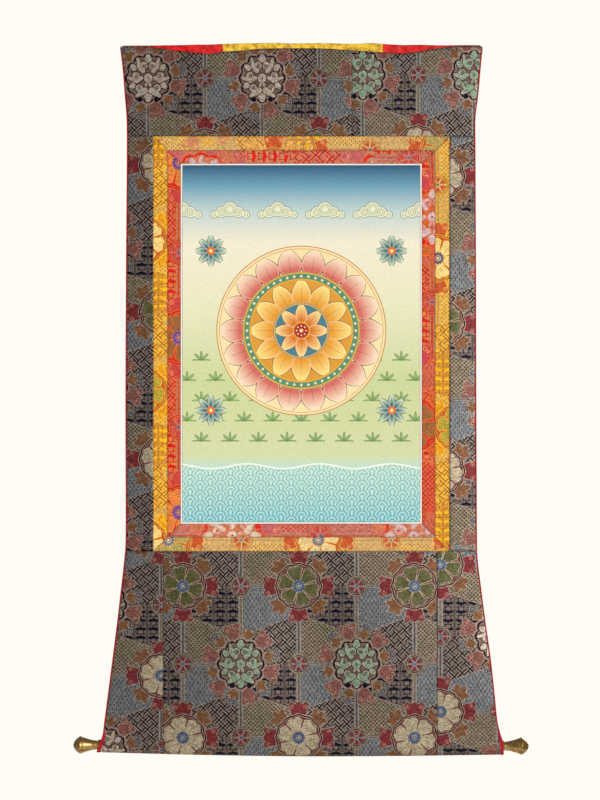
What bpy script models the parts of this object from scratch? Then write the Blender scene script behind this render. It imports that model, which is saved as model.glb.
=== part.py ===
"""A thangka scroll painting: a painted canvas framed in brocade, hanging from its top edge, with a rod in
the hem. Metres, +Z up, front towards -Y, X across. The origin is the middle of the top fold."""

import math
from collections import namedtuple

import bmesh
import bpy

# Driving dimensions
PAINTING_WIDTH = 0.400
PAINTING_HEIGHT = 0.600
PAINTING_TOP = -0.2055
CANVAS_MARGIN = 0.0025
RED_STRIP = 0.0225
GOLD_STRIP = 0.0240

CLOTH = 0.0015  # brocade on its backing
CANVAS = 0.0012
SILK = 0.0010
SEAM = 0.0003  # room between two pieces that are sewn together

TOP_SEAM_X = 0.0846  # upright seam of the upper panel
SKIRT_SEAM_LEFT = -0.2328
SKIRT_SEAM_RIGHT = 0.2276
COVER_SEAM_LEFT = -0.1320
COVER_SEAM_RIGHT = 0.1370

BINDING = 0.0020  # width of the red edge binding
POCKET_BINDING = 0.0056  # and where it closes the pocket's ends
BINDING_STANDS_OUT = 0.0005
BINDING_TOP = -0.0095
BINDING_WIDENS = (-1.150, -1.172)  # from this height down to this one
BROCADE_CORNER = -0.0060  # above this the brocade reaches the outline
CORNER_COLUMN = 0.0035  # the rounded corner's points are this far in

COVER_INSET = 0.0050  # the silk cover is this much narrower at each side
COVER_TURN_IN = 0.0120  # its end behind the brocade's top edge
COVER_FOLD = 0.0017  # radius of its fold over the top
COVER_BOTTOM = -0.8720
COVER_OFF_BACK = 0.0023
COVER_FOLDS = 0.0032  # half the depth of its soft upright folds

ROD_RADIUS = 0.0090
ROD_LEFT = -0.3415
ROD_RIGHT = 0.3405
ROD_HEIGHT = -1.1817
ROD_TILT = -0.0024  # metres of height for each metre of X
ROD_CLEARANCE = 0.00035
TENON_RADIUS = 0.0045
TENON_LENGTH = 0.0140
KNOB_LENGTH = 0.0420
POCKET_LEAN = 0.0040  # the cloth's front stands this far forward at the rod
POCKET_STITCH = 0.0360  # height of the pocket's stitch line above the rod's axis
POCKET_TAIL = 0.0080  # seam allowance above that line

COLUMN = 0.0200  # spacing of the sheets' points
INNER_COLUMNS = 0.285  # a sheet that follows the outline keeps its even columns inside this
ROW = 0.0330
COVER_ROW = 0.0460
ARC_STEPS = 10  # round the rod in the pocket
FOLD_STEPS = 6  # over the top of the silk cover
TURN_STEPS = 28  # round the rod and the knobs

# The side edges, half widths at each height. The panel is waisted and the skirt flares.
EdgeRow = namedtuple("EdgeRow", "z left right")
SIDE_EDGES = [
    EdgeRow(-0.0050, 0.3050, 0.3052),
    EdgeRow(-0.0460, 0.3002, 0.3012),
    EdgeRow(-0.0890, 0.2968, 0.2974),
    EdgeRow(-0.1240, 0.2940, 0.2929),
    EdgeRow(-0.1700, 0.2934, 0.2929),
    EdgeRow(-0.4000, 0.2950, 0.2939),
    EdgeRow(-0.6000, 0.2959, 0.2945),
    EdgeRow(-0.8350, 0.2955, 0.2955),
    EdgeRow(-0.8660, 0.2976, 0.2964),
    EdgeRow(-0.9200, 0.3036, 0.3028),
    EdgeRow(-0.9750, 0.3099, 0.3098),
    EdgeRow(-1.0350, 0.3174, 0.3182),
    EdgeRow(-1.0860, 0.3240, 0.3238),
    EdgeRow(-1.1390, 0.3308, 0.3293),
    EdgeRow(-1.1600, 0.3334, 0.3342),
    EdgeRow(-1.1750, 0.3378, 0.3390),
    EdgeRow(-1.1930, 0.3448, 0.3404),
]

# The top edge: heights of the brocade's edge and of the silk's fold above it
TopRow = namedtuple("TopRow", "x brocade silk")
TOP_EDGE = [
    TopRow(-0.3050, -0.0085, -0.0046),
    TopRow(-0.3020, -0.0056, -0.0040),
    TopRow(-0.2580, -0.0060, -0.0036),
    TopRow(-0.2310, -0.0100, -0.0033),
    TopRow(-0.2040, -0.0140, -0.0030),
    TopRow(-0.1770, -0.0170, -0.0025),
    TopRow(-0.1500, -0.0183, -0.0022),
    TopRow(-0.1320, -0.0150, -0.0012),
    TopRow(-0.1030, -0.0130, -0.0002),
    TopRow(-0.0710, -0.0100, 0.0001),
    TopRow(-0.0500, -0.0094, 0.0006),
    TopRow(-0.0170, -0.0090, -0.0002),
    TopRow(0.0360, -0.0094, 0.0003),
    TopRow(0.0920, -0.0130, -0.0010),
    TopRow(0.1170, -0.0146, 0.0002),
    TopRow(0.1370, -0.0160, -0.0012),
    TopRow(0.1690, -0.0178, -0.0030),
    TopRow(0.1980, -0.0146, -0.0025),
    TopRow(0.2330, -0.0087, -0.0036),
    TopRow(0.2570, -0.0060, -0.0032),
    TopRow(0.3010, -0.0048, -0.0032),
    TopRow(0.3052, -0.0080, -0.0042),
]

# How far the pocket hangs below the rod's sleeve
DropRow = namedtuple("DropRow", "x drop")
POCKET_DROP = [
    DropRow(-0.3450, 0.0012),
    DropRow(-0.1700, 0.0055),
    DropRow(0.0000, 0.0075),
    DropRow(0.1700, 0.0064),
    DropRow(0.3404, 0.0038),
]

# How the whole hanging waves, leans and curls. A span gives the heights where something starts and ends.
Wave = namedtuple("Wave", "depth length shift")
Span = namedtuple("Span", "start end")
DROOPS_AT = (-0.148, 0.169)  # the top edge droops forward here, between its tacks
DROOP = Wave(0.0016, 0.045, 0.0)
TOP_RIPPLE = Wave(0.0006, 0.150, 0.012)
TOP_FADES = Span(-0.02, -0.15)
SKIRT_WAVES = (Wave(0.0028, 0.370, 0.050), Wave(0.0014, 0.210, 0.037))
SKIRT_WAVES_GROW = Span(-0.86, -1.02)
SKIRT_WAVES_FADE = Span(-1.10, -1.165)
SKIRT_LEANS = Span(-0.80, -1.16)
SIDE_CURL = 0.0030  # the side edges curl back this far beside the picture
CURL_HALF_WIDTH = 0.30
COCKLE_UP = Wave(0.0010, 0.460, 0.0)
COCKLE_ACROSS = Wave(1.0, 0.500, 0.100)
BODY_STARTS = Span(-0.05, -0.30)
BODY_ENDS = Span(-0.85, -1.05)
COVER_WAVES = (Wave(1.0, 0.230, 0.033), Wave(0.5, 0.130, 0.0))
COVER_WAVES_GROW = Span(-0.05, -0.60)

# The knob's outline: distance from its neck, radius
KnobRow = namedtuple("KnobRow", "out radius")
KNOB = [
    KnobRow(0.0000, 0.0073),
    KnobRow(0.0100, 0.0083),
    KnobRow(0.0190, 0.0102),
    KnobRow(0.0250, 0.0122),
    KnobRow(0.0290, 0.0141),
    KnobRow(0.0305, 0.0147),
    KnobRow(0.0315, 0.0144),
    KnobRow(0.0350, 0.0113),
    KnobRow(0.0385, 0.0072),
    KnobRow(0.0408, 0.0040),
    KnobRow(0.0416, 0.0020),
]

# Derived sizes
FRAME_HALF = PAINTING_WIDTH / 2 + CANVAS_MARGIN + RED_STRIP + GOLD_STRIP
FRAME_TOP = PAINTING_TOP + CANVAS_MARGIN + RED_STRIP + GOLD_STRIP
FRAME_BOTTOM = PAINTING_TOP - PAINTING_HEIGHT - CANVAS_MARGIN - RED_STRIP - GOLD_STRIP
SLEEVE_RADIUS = ROD_RADIUS + ROD_CLEARANCE + CLOTH / 2
ROD_DEPTH = SLEEVE_RADIUS - POCKET_LEAN  # the rod axis's Y

# A point of a sheet's middle surface, with its outward normal in the YZ plane
Point = namedtuple("Point", "x y z ny nz")


def mix(a, b, share):
    return a + (b - a) * share


def ease(start, end, value):
    """0 before start, 1 past end, and a smooth step between."""
    share = min(max((value - start) / (end - start), 0.0), 1.0)
    return share * share * (3 - 2 * share)


def wave_at(wave, place):
    return wave.depth * math.sin(2 * math.pi * (place + wave.shift) / wave.length)


def along(rows, key, value_of, at):
    """The height of a smooth curve through the rows, each with its own slope."""
    places = [key(row) for row in rows]
    values = [value_of(row) for row in rows]
    if places[0] > places[-1]:
        places.reverse()
        values.reverse()
    at = min(max(at, places[0]), places[-1])
    i = max(k for k in range(len(places) - 1) if places[k] <= at)
    step = places[i + 1] - places[i]

    def slope(k):
        before, after = max(k - 1, 0), min(k + 1, len(places) - 1)
        return (values[after] - values[before]) / (places[after] - places[before])

    t = (at - places[i]) / step
    return (
        (2 * t**3 - 3 * t**2 + 1) * values[i]
        + (t**3 - 2 * t**2 + t) * step * slope(i)
        + (3 * t**2 - 2 * t**3) * values[i + 1]
        + (t**3 - t**2) * step * slope(i + 1)
    )


def left_edge(z):
    return -along(SIDE_EDGES, lambda row: row.z, lambda row: row.left, z)


def right_edge(z):
    return along(SIDE_EDGES, lambda row: row.z, lambda row: row.right, z)


def brocade_top(x):
    return along(TOP_EDGE, lambda row: row.x, lambda row: row.brocade, x)


def silk_top(x):
    return along(TOP_EDGE, lambda row: row.x, lambda row: row.silk, x)


def pocket_drop(x):
    return along(POCKET_DROP, lambda row: row.x, lambda row: row.drop, x)


def binding_width(z):
    return mix(BINDING, POCKET_BINDING, ease(*BINDING_WIDENS, z))


def hang(x, z):
    """The Y of the cloth's middle surface: how the whole hanging waves, leans and curls."""
    skirt = ease(*SKIRT_WAVES_GROW, z) * (1 - ease(*SKIRT_WAVES_FADE, z))
    waves = sum(wave_at(wave, x) for wave in SKIRT_WAVES)
    lean = -POCKET_LEAN * ease(*SKIRT_LEANS, z)
    near_top = 1 - ease(*TOP_FADES, z)
    droop = -DROOP.depth * sum(math.exp(-(((x - at) / DROOP.length) ** 2)) for at in DROOPS_AT)
    body = ease(*BODY_STARTS, z) * (1 - ease(*BODY_ENDS, z))
    curl = SIDE_CURL * (abs(x) / CURL_HALF_WIDTH) ** 4
    cockle = wave_at(COCKLE_UP, z) * wave_at(COCKLE_ACROSS, x)
    top = near_top * (wave_at(TOP_RIPPLE, x) + droop)
    return skirt * waves + lean + top + body * (curl + cockle)


def spaced(start, end, step):
    """Even fractions from 0 to 1 for a length cut into steps of about this size."""
    count = max(1, round(abs(end - start) / step))
    return [i / count for i in range(count + 1)]


def columns_between(start, end):
    """The ends, and the multiples of COLUMN between them, which neighbouring layers share."""
    first = math.ceil((start + COLUMN / 3) / COLUMN)
    last = math.floor((end - COLUMN / 3) / COLUMN)
    return [start] + [k * COLUMN for k in range(first, last + 1)] + [end]


def flat_point(x, z):
    return Point(x, hang(x, z), z, -1.0, 0.0)


def with_normals(path, x):
    """Points of a path in the YZ plane at x, with the normal on the path's right-hand side."""
    points = []
    for i, (y, z) in enumerate(path):
        y0, z0 = path[max(i - 1, 0)]
        y1, z1 = path[min(i + 1, len(path) - 1)]
        length = math.hypot(y1 - y0, z1 - z0)
        points.append(Point(x, y, z, (z1 - z0) / length, (y0 - y1) / length))
    return points


def make_object(name, mesh_maker, material):
    mesh = bpy.data.meshes.new(name)
    bm = bmesh.new()
    mesh_maker(bm)
    bmesh.ops.recalc_face_normals(bm, faces=bm.faces)
    bm.to_mesh(mesh)
    bm.free()
    mesh.materials.append(material)
    mesh.shade_smooth()
    mesh.set_sharp_from_angle(angle=math.radians(35))
    obj = bpy.data.objects.new(name, mesh)
    bpy.context.scene.collection.objects.link(obj)
    return obj


def sheet(name, material, grid, outside, inside):
    """A closed sheet about a grid of points, this thick on its outer and its inner side."""

    def fill(bm):
        sides = []
        for reach in (outside, -inside):
            side = [
                [bm.verts.new((p.x, p.y + p.ny * reach, p.z + p.nz * reach)) for p in row]
                for row in grid
            ]
            sides.append(side)
        rows, columns = len(grid), len(grid[0])
        for side in sides:
            for r in range(rows - 1):
                for c in range(columns - 1):
                    bm.faces.new((side[r][c], side[r][c + 1], side[r + 1][c + 1], side[r + 1][c]))
        outer, inner = sides
        for r in range(rows - 1):
            for c in (0, columns - 1):
                bm.faces.new((outer[r][c], outer[r + 1][c], inner[r + 1][c], inner[r][c]))
        for c in range(columns - 1):
            for r in (0, rows - 1):
                bm.faces.new((outer[r][c], outer[r][c + 1], inner[r][c + 1], inner[r][c]))

    return make_object(name, fill, material)


def material(name, colour, roughness, metallic=0.0):
    made = bpy.data.materials.new(name)
    made.use_nodes = True
    shader = made.node_tree.nodes["Principled BSDF"]
    shader.inputs["Base Color"].default_value = (*colour, 1.0)
    shader.inputs["Roughness"].default_value = roughness
    shader.inputs["Metallic"].default_value = metallic
    return made


def cloth_edge(side, z):
    """The X of the brocade's outer edge, inside the binding. Above the binding it reaches the outline."""
    bound = ease(BROCADE_CORNER, BINDING_TOP, z)
    inset = (binding_width(z) + SEAM) * bound
    return left_edge(z) + inset if side == "left" else right_edge(z) - inset


def top_rows():
    """Fractions of the way down the upper panel, with a short first row for its rounded corners."""
    height = abs(FRAME_TOP)
    return [0.0, abs(BINDING_TOP) / height / 3] + spaced(0, height, ROW)[1:]


def top_point(x, share):
    z = mix(brocade_top(x), FRAME_TOP + SEAM / 2, share)
    return flat_point(x, z)


def build_top_panels(brocade):
    """The two lengths of the upper panel, seamed at TOP_SEAM_X."""
    bottom = FRAME_TOP + SEAM / 2
    grid = {"left": [], "right": []}
    for share in top_rows():
        edge = cloth_edge("left", mix(TOP_EDGE[0].brocade, bottom, share))
        inner = columns_between(-INNER_COLUMNS, TOP_SEAM_X - SEAM / 2)[1:]
        xs = [edge, edge + CORNER_COLUMN] + inner
        grid["left"].append([top_point(x, share) for x in xs])
        edge = cloth_edge("right", mix(TOP_EDGE[-1].brocade, bottom, share))
        inner = columns_between(TOP_SEAM_X + SEAM / 2, INNER_COLUMNS)[:-1]
        xs = inner + [edge - CORNER_COLUMN, edge]
        grid["right"].append([top_point(x, share) for x in xs])
    for side in grid:
        sheet(f"brocade_top_{side}", brocade, grid[side], CLOTH / 2, CLOTH / 2)


def side_heights():
    top, bottom = FRAME_TOP - SEAM / 2, FRAME_BOTTOM + SEAM / 2
    return [mix(top, bottom, share) for share in spaced(top, bottom, ROW)]


def build_side_strips(brocade):
    for side, sign in (("left", -1), ("right", 1)):
        grid = []
        for z in side_heights():
            outer, inner = cloth_edge(side, z), sign * (FRAME_HALF + SEAM / 2)
            grid.append([flat_point(mix(outer, inner, share), z) for share in (0.0, 0.5, 1.0)])
        sheet(f"brocade_side_{side}", brocade, grid, CLOTH / 2, CLOTH / 2)


def skirt_path(x):
    """The middle surface of the skirt at x: down the front, round the rod, and up to the stitch line."""
    top = FRAME_BOTTOM - SEAM / 2
    axis_z = ROD_HEIGHT + ROD_TILT * x
    path = []
    for share in spaced(top, ROD_HEIGHT, ROW):
        z = mix(top, axis_z, share)
        path.append((hang(x, z), z))
    # The arc leaves the rod where a straight line can rise to the stitch line.
    stitch_z = axis_z + POCKET_STITCH
    stitch_y = hang(x, stitch_z) + CLOTH + SEAM
    across, up = stitch_y - ROD_DEPTH, stitch_z - axis_z
    reach = math.hypot(across, up)
    leaves = math.atan2(up, across) - math.acos(SLEEVE_RADIUS / reach)
    for i in range(1, ARC_STEPS + 1):
        angle = mix(math.pi, 2 * math.pi + leaves, i / ARC_STEPS)
        tall = SLEEVE_RADIUS + (pocket_drop(x) if math.sin(angle) < 0 else 0.0)
        y = ROD_DEPTH + SLEEVE_RADIUS * math.cos(angle)
        path.append((y, axis_z + tall * math.sin(angle)))
    last_y, last_z = path[-1]
    path.append((mix(last_y, stitch_y, 0.5), mix(last_z, stitch_z, 0.5)))
    path.append((stitch_y, stitch_z))
    tail_z = stitch_z + POCKET_TAIL
    path.append((hang(x, tail_z) + CLOTH + SEAM, tail_z))
    return path


def build_skirt(brocade):
    """The two gores and the centre panel, each turned up behind as the rod's pocket."""
    for side, seam in (
        ("left", SKIRT_SEAM_LEFT - SEAM / 2),
        ("right", SKIRT_SEAM_RIGHT + SEAM / 2),
    ):
        edge_path = skirt_path(left_edge(ROD_HEIGHT) if side == "left" else right_edge(ROD_HEIGHT))
        outer = [cloth_edge(side, z) for _, z in edge_path]
        columns = []
        for share in spaced(outer[0], seam, COLUMN):
            placed = []
            for row, edge_x in enumerate(outer):
                x = mix(edge_x, seam, share)
                placed.append(with_normals(skirt_path(x), x)[row])
            columns.append(placed)
        sheet(f"brocade_skirt_{side}", brocade, list(zip(*columns)), CLOTH / 2, CLOTH / 2)
    start, end = SKIRT_SEAM_LEFT + SEAM / 2, SKIRT_SEAM_RIGHT - SEAM / 2
    columns = []
    for share in spaced(start, end, COLUMN):
        x = mix(start, end, share)
        columns.append(with_normals(skirt_path(x), x))
    sheet("brocade_skirt_centre", brocade, list(zip(*columns)), CLOTH / 2, CLOTH / 2)


def build_bindings(red):
    """The red binding down each side, along the rows of the panels that it edges."""
    for side, edge in (("left", left_edge), ("right", right_edge)):
        inward = 1 if side == "left" else -1
        corner = brocade_top(edge(0))
        bottom = FRAME_TOP + SEAM / 2
        heights = [mix(corner, bottom, share) for share in top_rows()]
        heights = [BINDING_TOP] + [z for z in heights if z < BINDING_TOP - 0.001] + side_heights()
        nominal = edge(ROD_HEIGHT)
        grid = []
        for z in heights:
            width = binding_width(z)
            grid.append([flat_point(x, z) for x in (edge(z), edge(z) + inward * width)])
        for row, (_, z) in enumerate(skirt_path(nominal)):
            width = binding_width(z)
            pair = (edge(z), edge(z) + inward * width)
            grid.append([with_normals(skirt_path(x), x)[row] for x in pair])
        sheet(f"edge_binding_{side}", red, grid, CLOTH / 2 + BINDING_STANDS_OUT, CLOTH / 2)


def build_border(name, cloth_material, half, top, bottom, width):
    """A border of four strips, mitred at the corners. half is its outer half width."""
    mitre = SEAM * 0.7
    edge = SEAM / 2
    insets = (edge, width - edge)
    for side, start in (("top", top), ("bottom", bottom)):
        inward = -1 if side == "top" else 1
        grid = []
        for inset in insets:
            reach = half - inset - mitre
            z = start + inward * inset
            grid.append([flat_point(mix(-reach, reach, u), z) for u in spaced(-half, half, ROW)])
        sheet(f"{name}_{side}", cloth_material, grid, CLOTH / 2, CLOTH / 2)
    for side, sign in (("left", -1), ("right", 1)):
        grid = []
        for share in spaced(top, bottom, ROW):
            row = []
            for inset in insets:
                z = mix(top - inset - mitre, bottom + inset + mitre, share)
                row.append(flat_point(sign * (half - inset), z))
            grid.append(row)
        sheet(f"{name}_{side}", cloth_material, grid, CLOTH / 2, CLOTH / 2)


def build_canvas(canvas):
    half = PAINTING_WIDTH / 2 + CANVAS_MARGIN - SEAM / 2
    top = PAINTING_TOP + CANVAS_MARGIN - SEAM / 2
    bottom = PAINTING_TOP - PAINTING_HEIGHT - CANVAS_MARGIN + SEAM / 2
    grid = [
        [flat_point(mix(-half, half, u), mix(top, bottom, v)) for u in spaced(-half, half, ROW)]
        for v in spaced(top, bottom, ROW)
    ]
    sheet("painted_canvas", canvas, grid, CANVAS / 2, CANVAS / 2)


def cover_path(x):
    """The silk cover at x: up behind the brocade's edge, over the fold, and down the back."""
    off_brocade = CLOTH / 2 + SEAM + SILK / 2
    fold_z = silk_top(x) - COVER_FOLD - SILK / 2
    low = brocade_top(x) - COVER_TURN_IN
    path = []
    for share in (0.0, 0.4, 0.7, 1.0):
        z = mix(low, fold_z, share)
        path.append((hang(x, z) + off_brocade, z))
    fold_y = path[-1][0] + COVER_FOLD
    for i in range(1, FOLD_STEPS):
        angle = math.pi * i / FOLD_STEPS
        path.append((fold_y - COVER_FOLD * math.cos(angle), fold_z + COVER_FOLD * math.sin(angle)))
    off_fold = off_brocade + 2 * COVER_FOLD
    off_back = CLOTH / 2 + COVER_OFF_BACK + SILK / 2
    deepest = sum(wave.depth for wave in COVER_WAVES)
    wavy = COVER_FOLDS * (deepest + sum(wave_at(wave, x) for wave in COVER_WAVES))
    for share in spaced(fold_z, COVER_BOTTOM, COVER_ROW):
        z = mix(fold_z, COVER_BOTTOM, share)
        off = mix(off_fold, off_back + wavy * ease(*COVER_WAVES_GROW, z), ease(0.0, 0.25, share))
        path.append((hang(x, z) + off, z))
    return path


def build_cover(red, yellow):
    """The silk cover's three lengths. Its outer edges keep inside the brocade's."""
    gap = SEAM / 2
    for name, silk, start, end in (
        ("silk_cover_red_left", red, None, COVER_SEAM_LEFT - gap),
        ("silk_cover_yellow", yellow, COVER_SEAM_LEFT + gap, COVER_SEAM_RIGHT - gap),
        ("silk_cover_red_right", red, COVER_SEAM_RIGHT + gap, None),
    ):
        low = -INNER_COLUMNS if start is None else start
        high = INNER_COLUMNS if end is None else end
        xs = columns_between(low, high)
        columns = [with_normals(cover_path(x), x) for x in xs]
        for missing, edge, inward in ((start, left_edge, 1), (end, right_edge, -1)):
            if missing is not None:
                continue
            column = []
            for row, (_, z) in enumerate(cover_path(edge(0))):
                x = edge(z) + inward * COVER_INSET
                column.append(with_normals(cover_path(x), x)[row])
            columns[0 if inward > 0 else -1] = column
        sheet(name, silk, list(zip(*columns)), SILK / 2, SILK / 2)


def turned(name, outline, material_used, place_x, outward):
    """A solid turned about the rod's axis. outline holds (distance outward, radius) pairs."""

    def fill(bm):
        verts = [bm.verts.new((outward * out, 0.0, radius)) for out, radius in outline]
        edges = [bm.edges.new(pair) for pair in zip(verts, verts[1:])]
        bmesh.ops.spin(
            bm,
            geom=verts + edges,
            cent=(0, 0, 0),
            axis=(1, 0, 0),
            angle=2 * math.pi,
            steps=TURN_STEPS,
            use_merge=True,
        )
        bmesh.ops.remove_doubles(bm, verts=bm.verts, dist=1e-6)

    obj = make_object(name, fill, material_used)
    obj.location = (place_x, ROD_DEPTH, ROD_HEIGHT + ROD_TILT * place_x)
    obj.rotation_euler = (0.0, math.atan(-ROD_TILT), 0.0)
    return obj


def build_rod(wood):
    length = ROD_RIGHT - ROD_LEFT
    outline = [
        (-TENON_LENGTH, 0.0),
        (-TENON_LENGTH, TENON_RADIUS),
        (0.0, TENON_RADIUS),
        (0.0, ROD_RADIUS),
        (length, ROD_RADIUS),
        (length, TENON_RADIUS),
        (length + TENON_LENGTH, TENON_RADIUS),
        (length + TENON_LENGTH, 0.0),
    ]
    turned("roller_rod", outline, wood, ROD_LEFT, 1)


def build_knobs(brass):
    """Brass knobs with a blind socket, one on each tenon."""
    socket_radius = TENON_RADIUS + SEAM
    socket_depth = TENON_LENGTH + SEAM
    outline = [(socket_depth, 0.0), (socket_depth, socket_radius), (0.0, socket_radius)]
    outline += [(row.out, row.radius) for row in KNOB] + [(KNOB_LENGTH, 0.0)]
    turned("brass_knob_left", outline, brass, ROD_LEFT - SEAM, -1)
    turned("brass_knob_right", outline, brass, ROD_RIGHT + SEAM, 1)


for old in list(bpy.data.objects):
    bpy.data.objects.remove(old)

brocade = material("dark brocade", (0.14, 0.13, 0.14), 0.75)
gold_brocade = material("gold brocade", (0.78, 0.45, 0.06), 0.60)
red_brocade = material("red brocade", (0.52, 0.08, 0.05), 0.60)
canvas = material("painted canvas", (0.50, 0.60, 0.48), 0.85)
red_silk = material("red silk", (0.60, 0.015, 0.02), 0.40)
yellow_silk = material("yellow silk", (0.88, 0.55, 0.04), 0.40)
wood = material("rod wood", (0.30, 0.17, 0.08), 0.65)
brass = material("aged brass", (0.42, 0.28, 0.09), 0.35, 1.0)

build_top_panels(brocade)
build_side_strips(brocade)
build_skirt(brocade)
build_bindings(red_silk)
build_border("gold_border", gold_brocade, FRAME_HALF, FRAME_TOP, FRAME_BOTTOM, GOLD_STRIP)
build_border(
    "red_border",
    red_brocade,
    FRAME_HALF - GOLD_STRIP,
    FRAME_TOP - GOLD_STRIP,
    FRAME_BOTTOM + GOLD_STRIP,
    RED_STRIP,
)
build_canvas(canvas)
build_cover(red_silk, yellow_silk)
build_rod(wood)
build_knobs(brass)
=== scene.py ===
# %% [markdown]
# # A thangka scroll painting
#
# A painted canvas is sewn into a red and a gold border of figured brocade, and that into panels of dark
# brocade. A silk cover is thrown over the top and hangs down the back. The skirt is turned up behind as
# a pocket for a wooden rod with a brass knob on each end. Every sheet is made from the same few sizes
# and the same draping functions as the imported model, only with more points, so each piece lies on its
# solid. The brocade's figure is drawn by shader nodes, as a lattice of flowers, medallions and rosettes
# over four small ground patterns.

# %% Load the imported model
import math
from collections import namedtuple

import bmesh
import bpy
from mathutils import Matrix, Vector, noise


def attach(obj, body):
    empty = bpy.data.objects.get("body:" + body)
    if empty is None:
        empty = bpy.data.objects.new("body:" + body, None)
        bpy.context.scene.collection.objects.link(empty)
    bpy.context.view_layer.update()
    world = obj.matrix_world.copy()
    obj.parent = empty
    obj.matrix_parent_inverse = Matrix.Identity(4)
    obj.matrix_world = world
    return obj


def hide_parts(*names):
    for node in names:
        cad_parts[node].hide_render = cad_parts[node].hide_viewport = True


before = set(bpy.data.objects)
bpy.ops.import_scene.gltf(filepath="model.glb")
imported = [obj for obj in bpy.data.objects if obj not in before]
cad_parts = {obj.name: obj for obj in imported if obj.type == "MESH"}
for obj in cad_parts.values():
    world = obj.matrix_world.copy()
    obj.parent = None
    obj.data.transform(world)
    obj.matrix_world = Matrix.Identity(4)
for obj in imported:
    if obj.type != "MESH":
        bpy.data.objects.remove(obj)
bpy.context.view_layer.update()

# %% [markdown]
# ## Camera and light
#
# The photograph is taken straight on, from far enough away that nothing converges, against a cream
# white ground. The camera looks along +Y at the middle of the part. Two large lamps light its front and
# two its back. In the photograph only the dark brocade grows brighter to the right, which is a gleam, so
# the right lamp of each pair gives reflections and the left one doesn't. The world is bright to the
# camera and dimmer as a light, so the ground stays pale and doesn't wash out the cloth.

# %% Camera, world, lamps and floor
FRAME_HEIGHT = 1.3448  # metres that the photograph spans at the cloth
CAMERA_DISTANCE = 4.0
VIEW_CENTRE = Vector((-0.0022, 0.0, -0.6001))
SENSOR = 36.0
FLOOR_HEIGHT = -1.62
FLOOR_RADIUS = 1.15
FLOOR_SIDES = 96
WORLD_COLOUR = (1.0, 0.973, 0.913)
WORLD_LIGHT = 0.20  # how much of the ground's brightness lights the cloth
WARM = (1.0, 0.98, 0.95)
WARMER = (1.0, 0.97, 0.93)
Lamp = namedtuple("Lamp", "name place width watts colour gleams")
LAMPS = [
    Lamp("key_right", (1.3, -2.2, -0.55), 1.4, 33, WARM, True),
    Lamp("fill_left", (-1.3, -2.2, -0.45), 1.2, 34, WARMER, False),
    Lamp("back_right", (1.1, 2.4, -0.40), 1.4, 30, WARM, True),
    Lamp("back_left", (-1.1, 2.4, -0.50), 1.2, 24, WARMER, False),
]


def tone(red, green, blue):
    """A colour given as screen values from 0 to 255, in the linear values that shaders use."""

    def linear(value):
        share = value / 255
        return share / 12.92 if share <= 0.04045 else ((share + 0.055) / 1.055) ** 2.4

    return (linear(red), linear(green), linear(blue), 1.0)


def add_object(name, data):
    """A new object of this name, in the scene."""
    made = bpy.data.objects.new(name, data)
    bpy.context.scene.collection.objects.link(made)
    return made


def add_node(tree, kind, **settings):
    """A shader node with its own settings, such as the operation of a Math node."""
    node = tree.nodes.new(f"ShaderNode{kind}")
    for name, value in settings.items():
        setattr(node, name, value)
    return node


def new_material(name):
    """A material, its node tree and its Principled BSDF."""
    made = bpy.data.materials.new(name)
    made.use_nodes = True
    return made, made.node_tree, made.node_tree.nodes["Principled BSDF"]


def add_camera():
    data = bpy.data.cameras.new("camera")
    data.sensor_fit = "VERTICAL"
    data.sensor_height = SENSOR
    data.lens = SENSOR * CAMERA_DISTANCE / FRAME_HEIGHT
    camera = add_object("camera", data)
    camera.location = VIEW_CENTRE + Vector((0, -CAMERA_DISTANCE, 0))
    camera.rotation_euler = (math.pi / 2, 0, 0)
    bpy.context.scene.camera = camera
    return camera


def add_lamp(lamp):
    data = bpy.data.lights.new(lamp.name, "AREA")
    data.size = lamp.width
    data.energy = lamp.watts
    data.color = lamp.colour
    made = add_object(lamp.name, data)
    made.location = lamp.place
    made.rotation_euler = (VIEW_CENTRE - Vector(lamp.place)).to_track_quat("-Z", "Y").to_euler()
    made.visible_glossy = lamp.gleams


def set_world():
    world = bpy.data.worlds.new("studio")
    bpy.context.scene.world = world
    world.use_nodes = True
    tree = world.node_tree
    background = tree.nodes["Background"]
    background.inputs["Color"].default_value = (*WORLD_COLOUR, 1.0)
    rays = add_node(tree, "LightPath")
    level = add_node(tree, "MapRange")
    level.inputs["To Min"].default_value = WORLD_LIGHT
    level.inputs["To Max"].default_value = 1.0
    tree.links.new(rays.outputs["Is Camera Ray"], level.inputs["Value"])
    tree.links.new(level.outputs["Result"], background.inputs["Strength"])


def add_floor():
    mesh = bpy.data.meshes.new("studio_floor")
    bm = bmesh.new()
    bmesh.ops.create_circle(bm, cap_ends=True, segments=FLOOR_SIDES, radius=FLOOR_RADIUS)
    bm.to_mesh(mesh)
    bm.free()
    floor = add_object("studio_floor", mesh)
    floor.location = (0, 0, FLOOR_HEIGHT)
    pale, _, shader = new_material("pale floor")
    shader.inputs["Base Color"].default_value = tone(236, 233, 226)
    mesh.materials.append(pale)


bpy.context.scene.view_settings.view_transform = "Standard"
set_world()
camera = add_camera()
for lamp in LAMPS:
    add_lamp(lamp)
add_floor()
print("lens:", round(camera.data.lens, 1), "mm, lamps:", len(LAMPS))

# %% [markdown]
# ## The sizes and the drape
#
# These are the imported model's own sizes. The side edges are waisted and the skirt flares. The top edge
# dips between its tacks. `hang` gives how far the whole hanging stands forward or back at a place: slow
# waves in the skirt, a lean at the rod, a droop at the top, and side edges that curl back a little.
# `unevenness` adds what is too fine for the solids, under half a millimetre of it.

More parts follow.
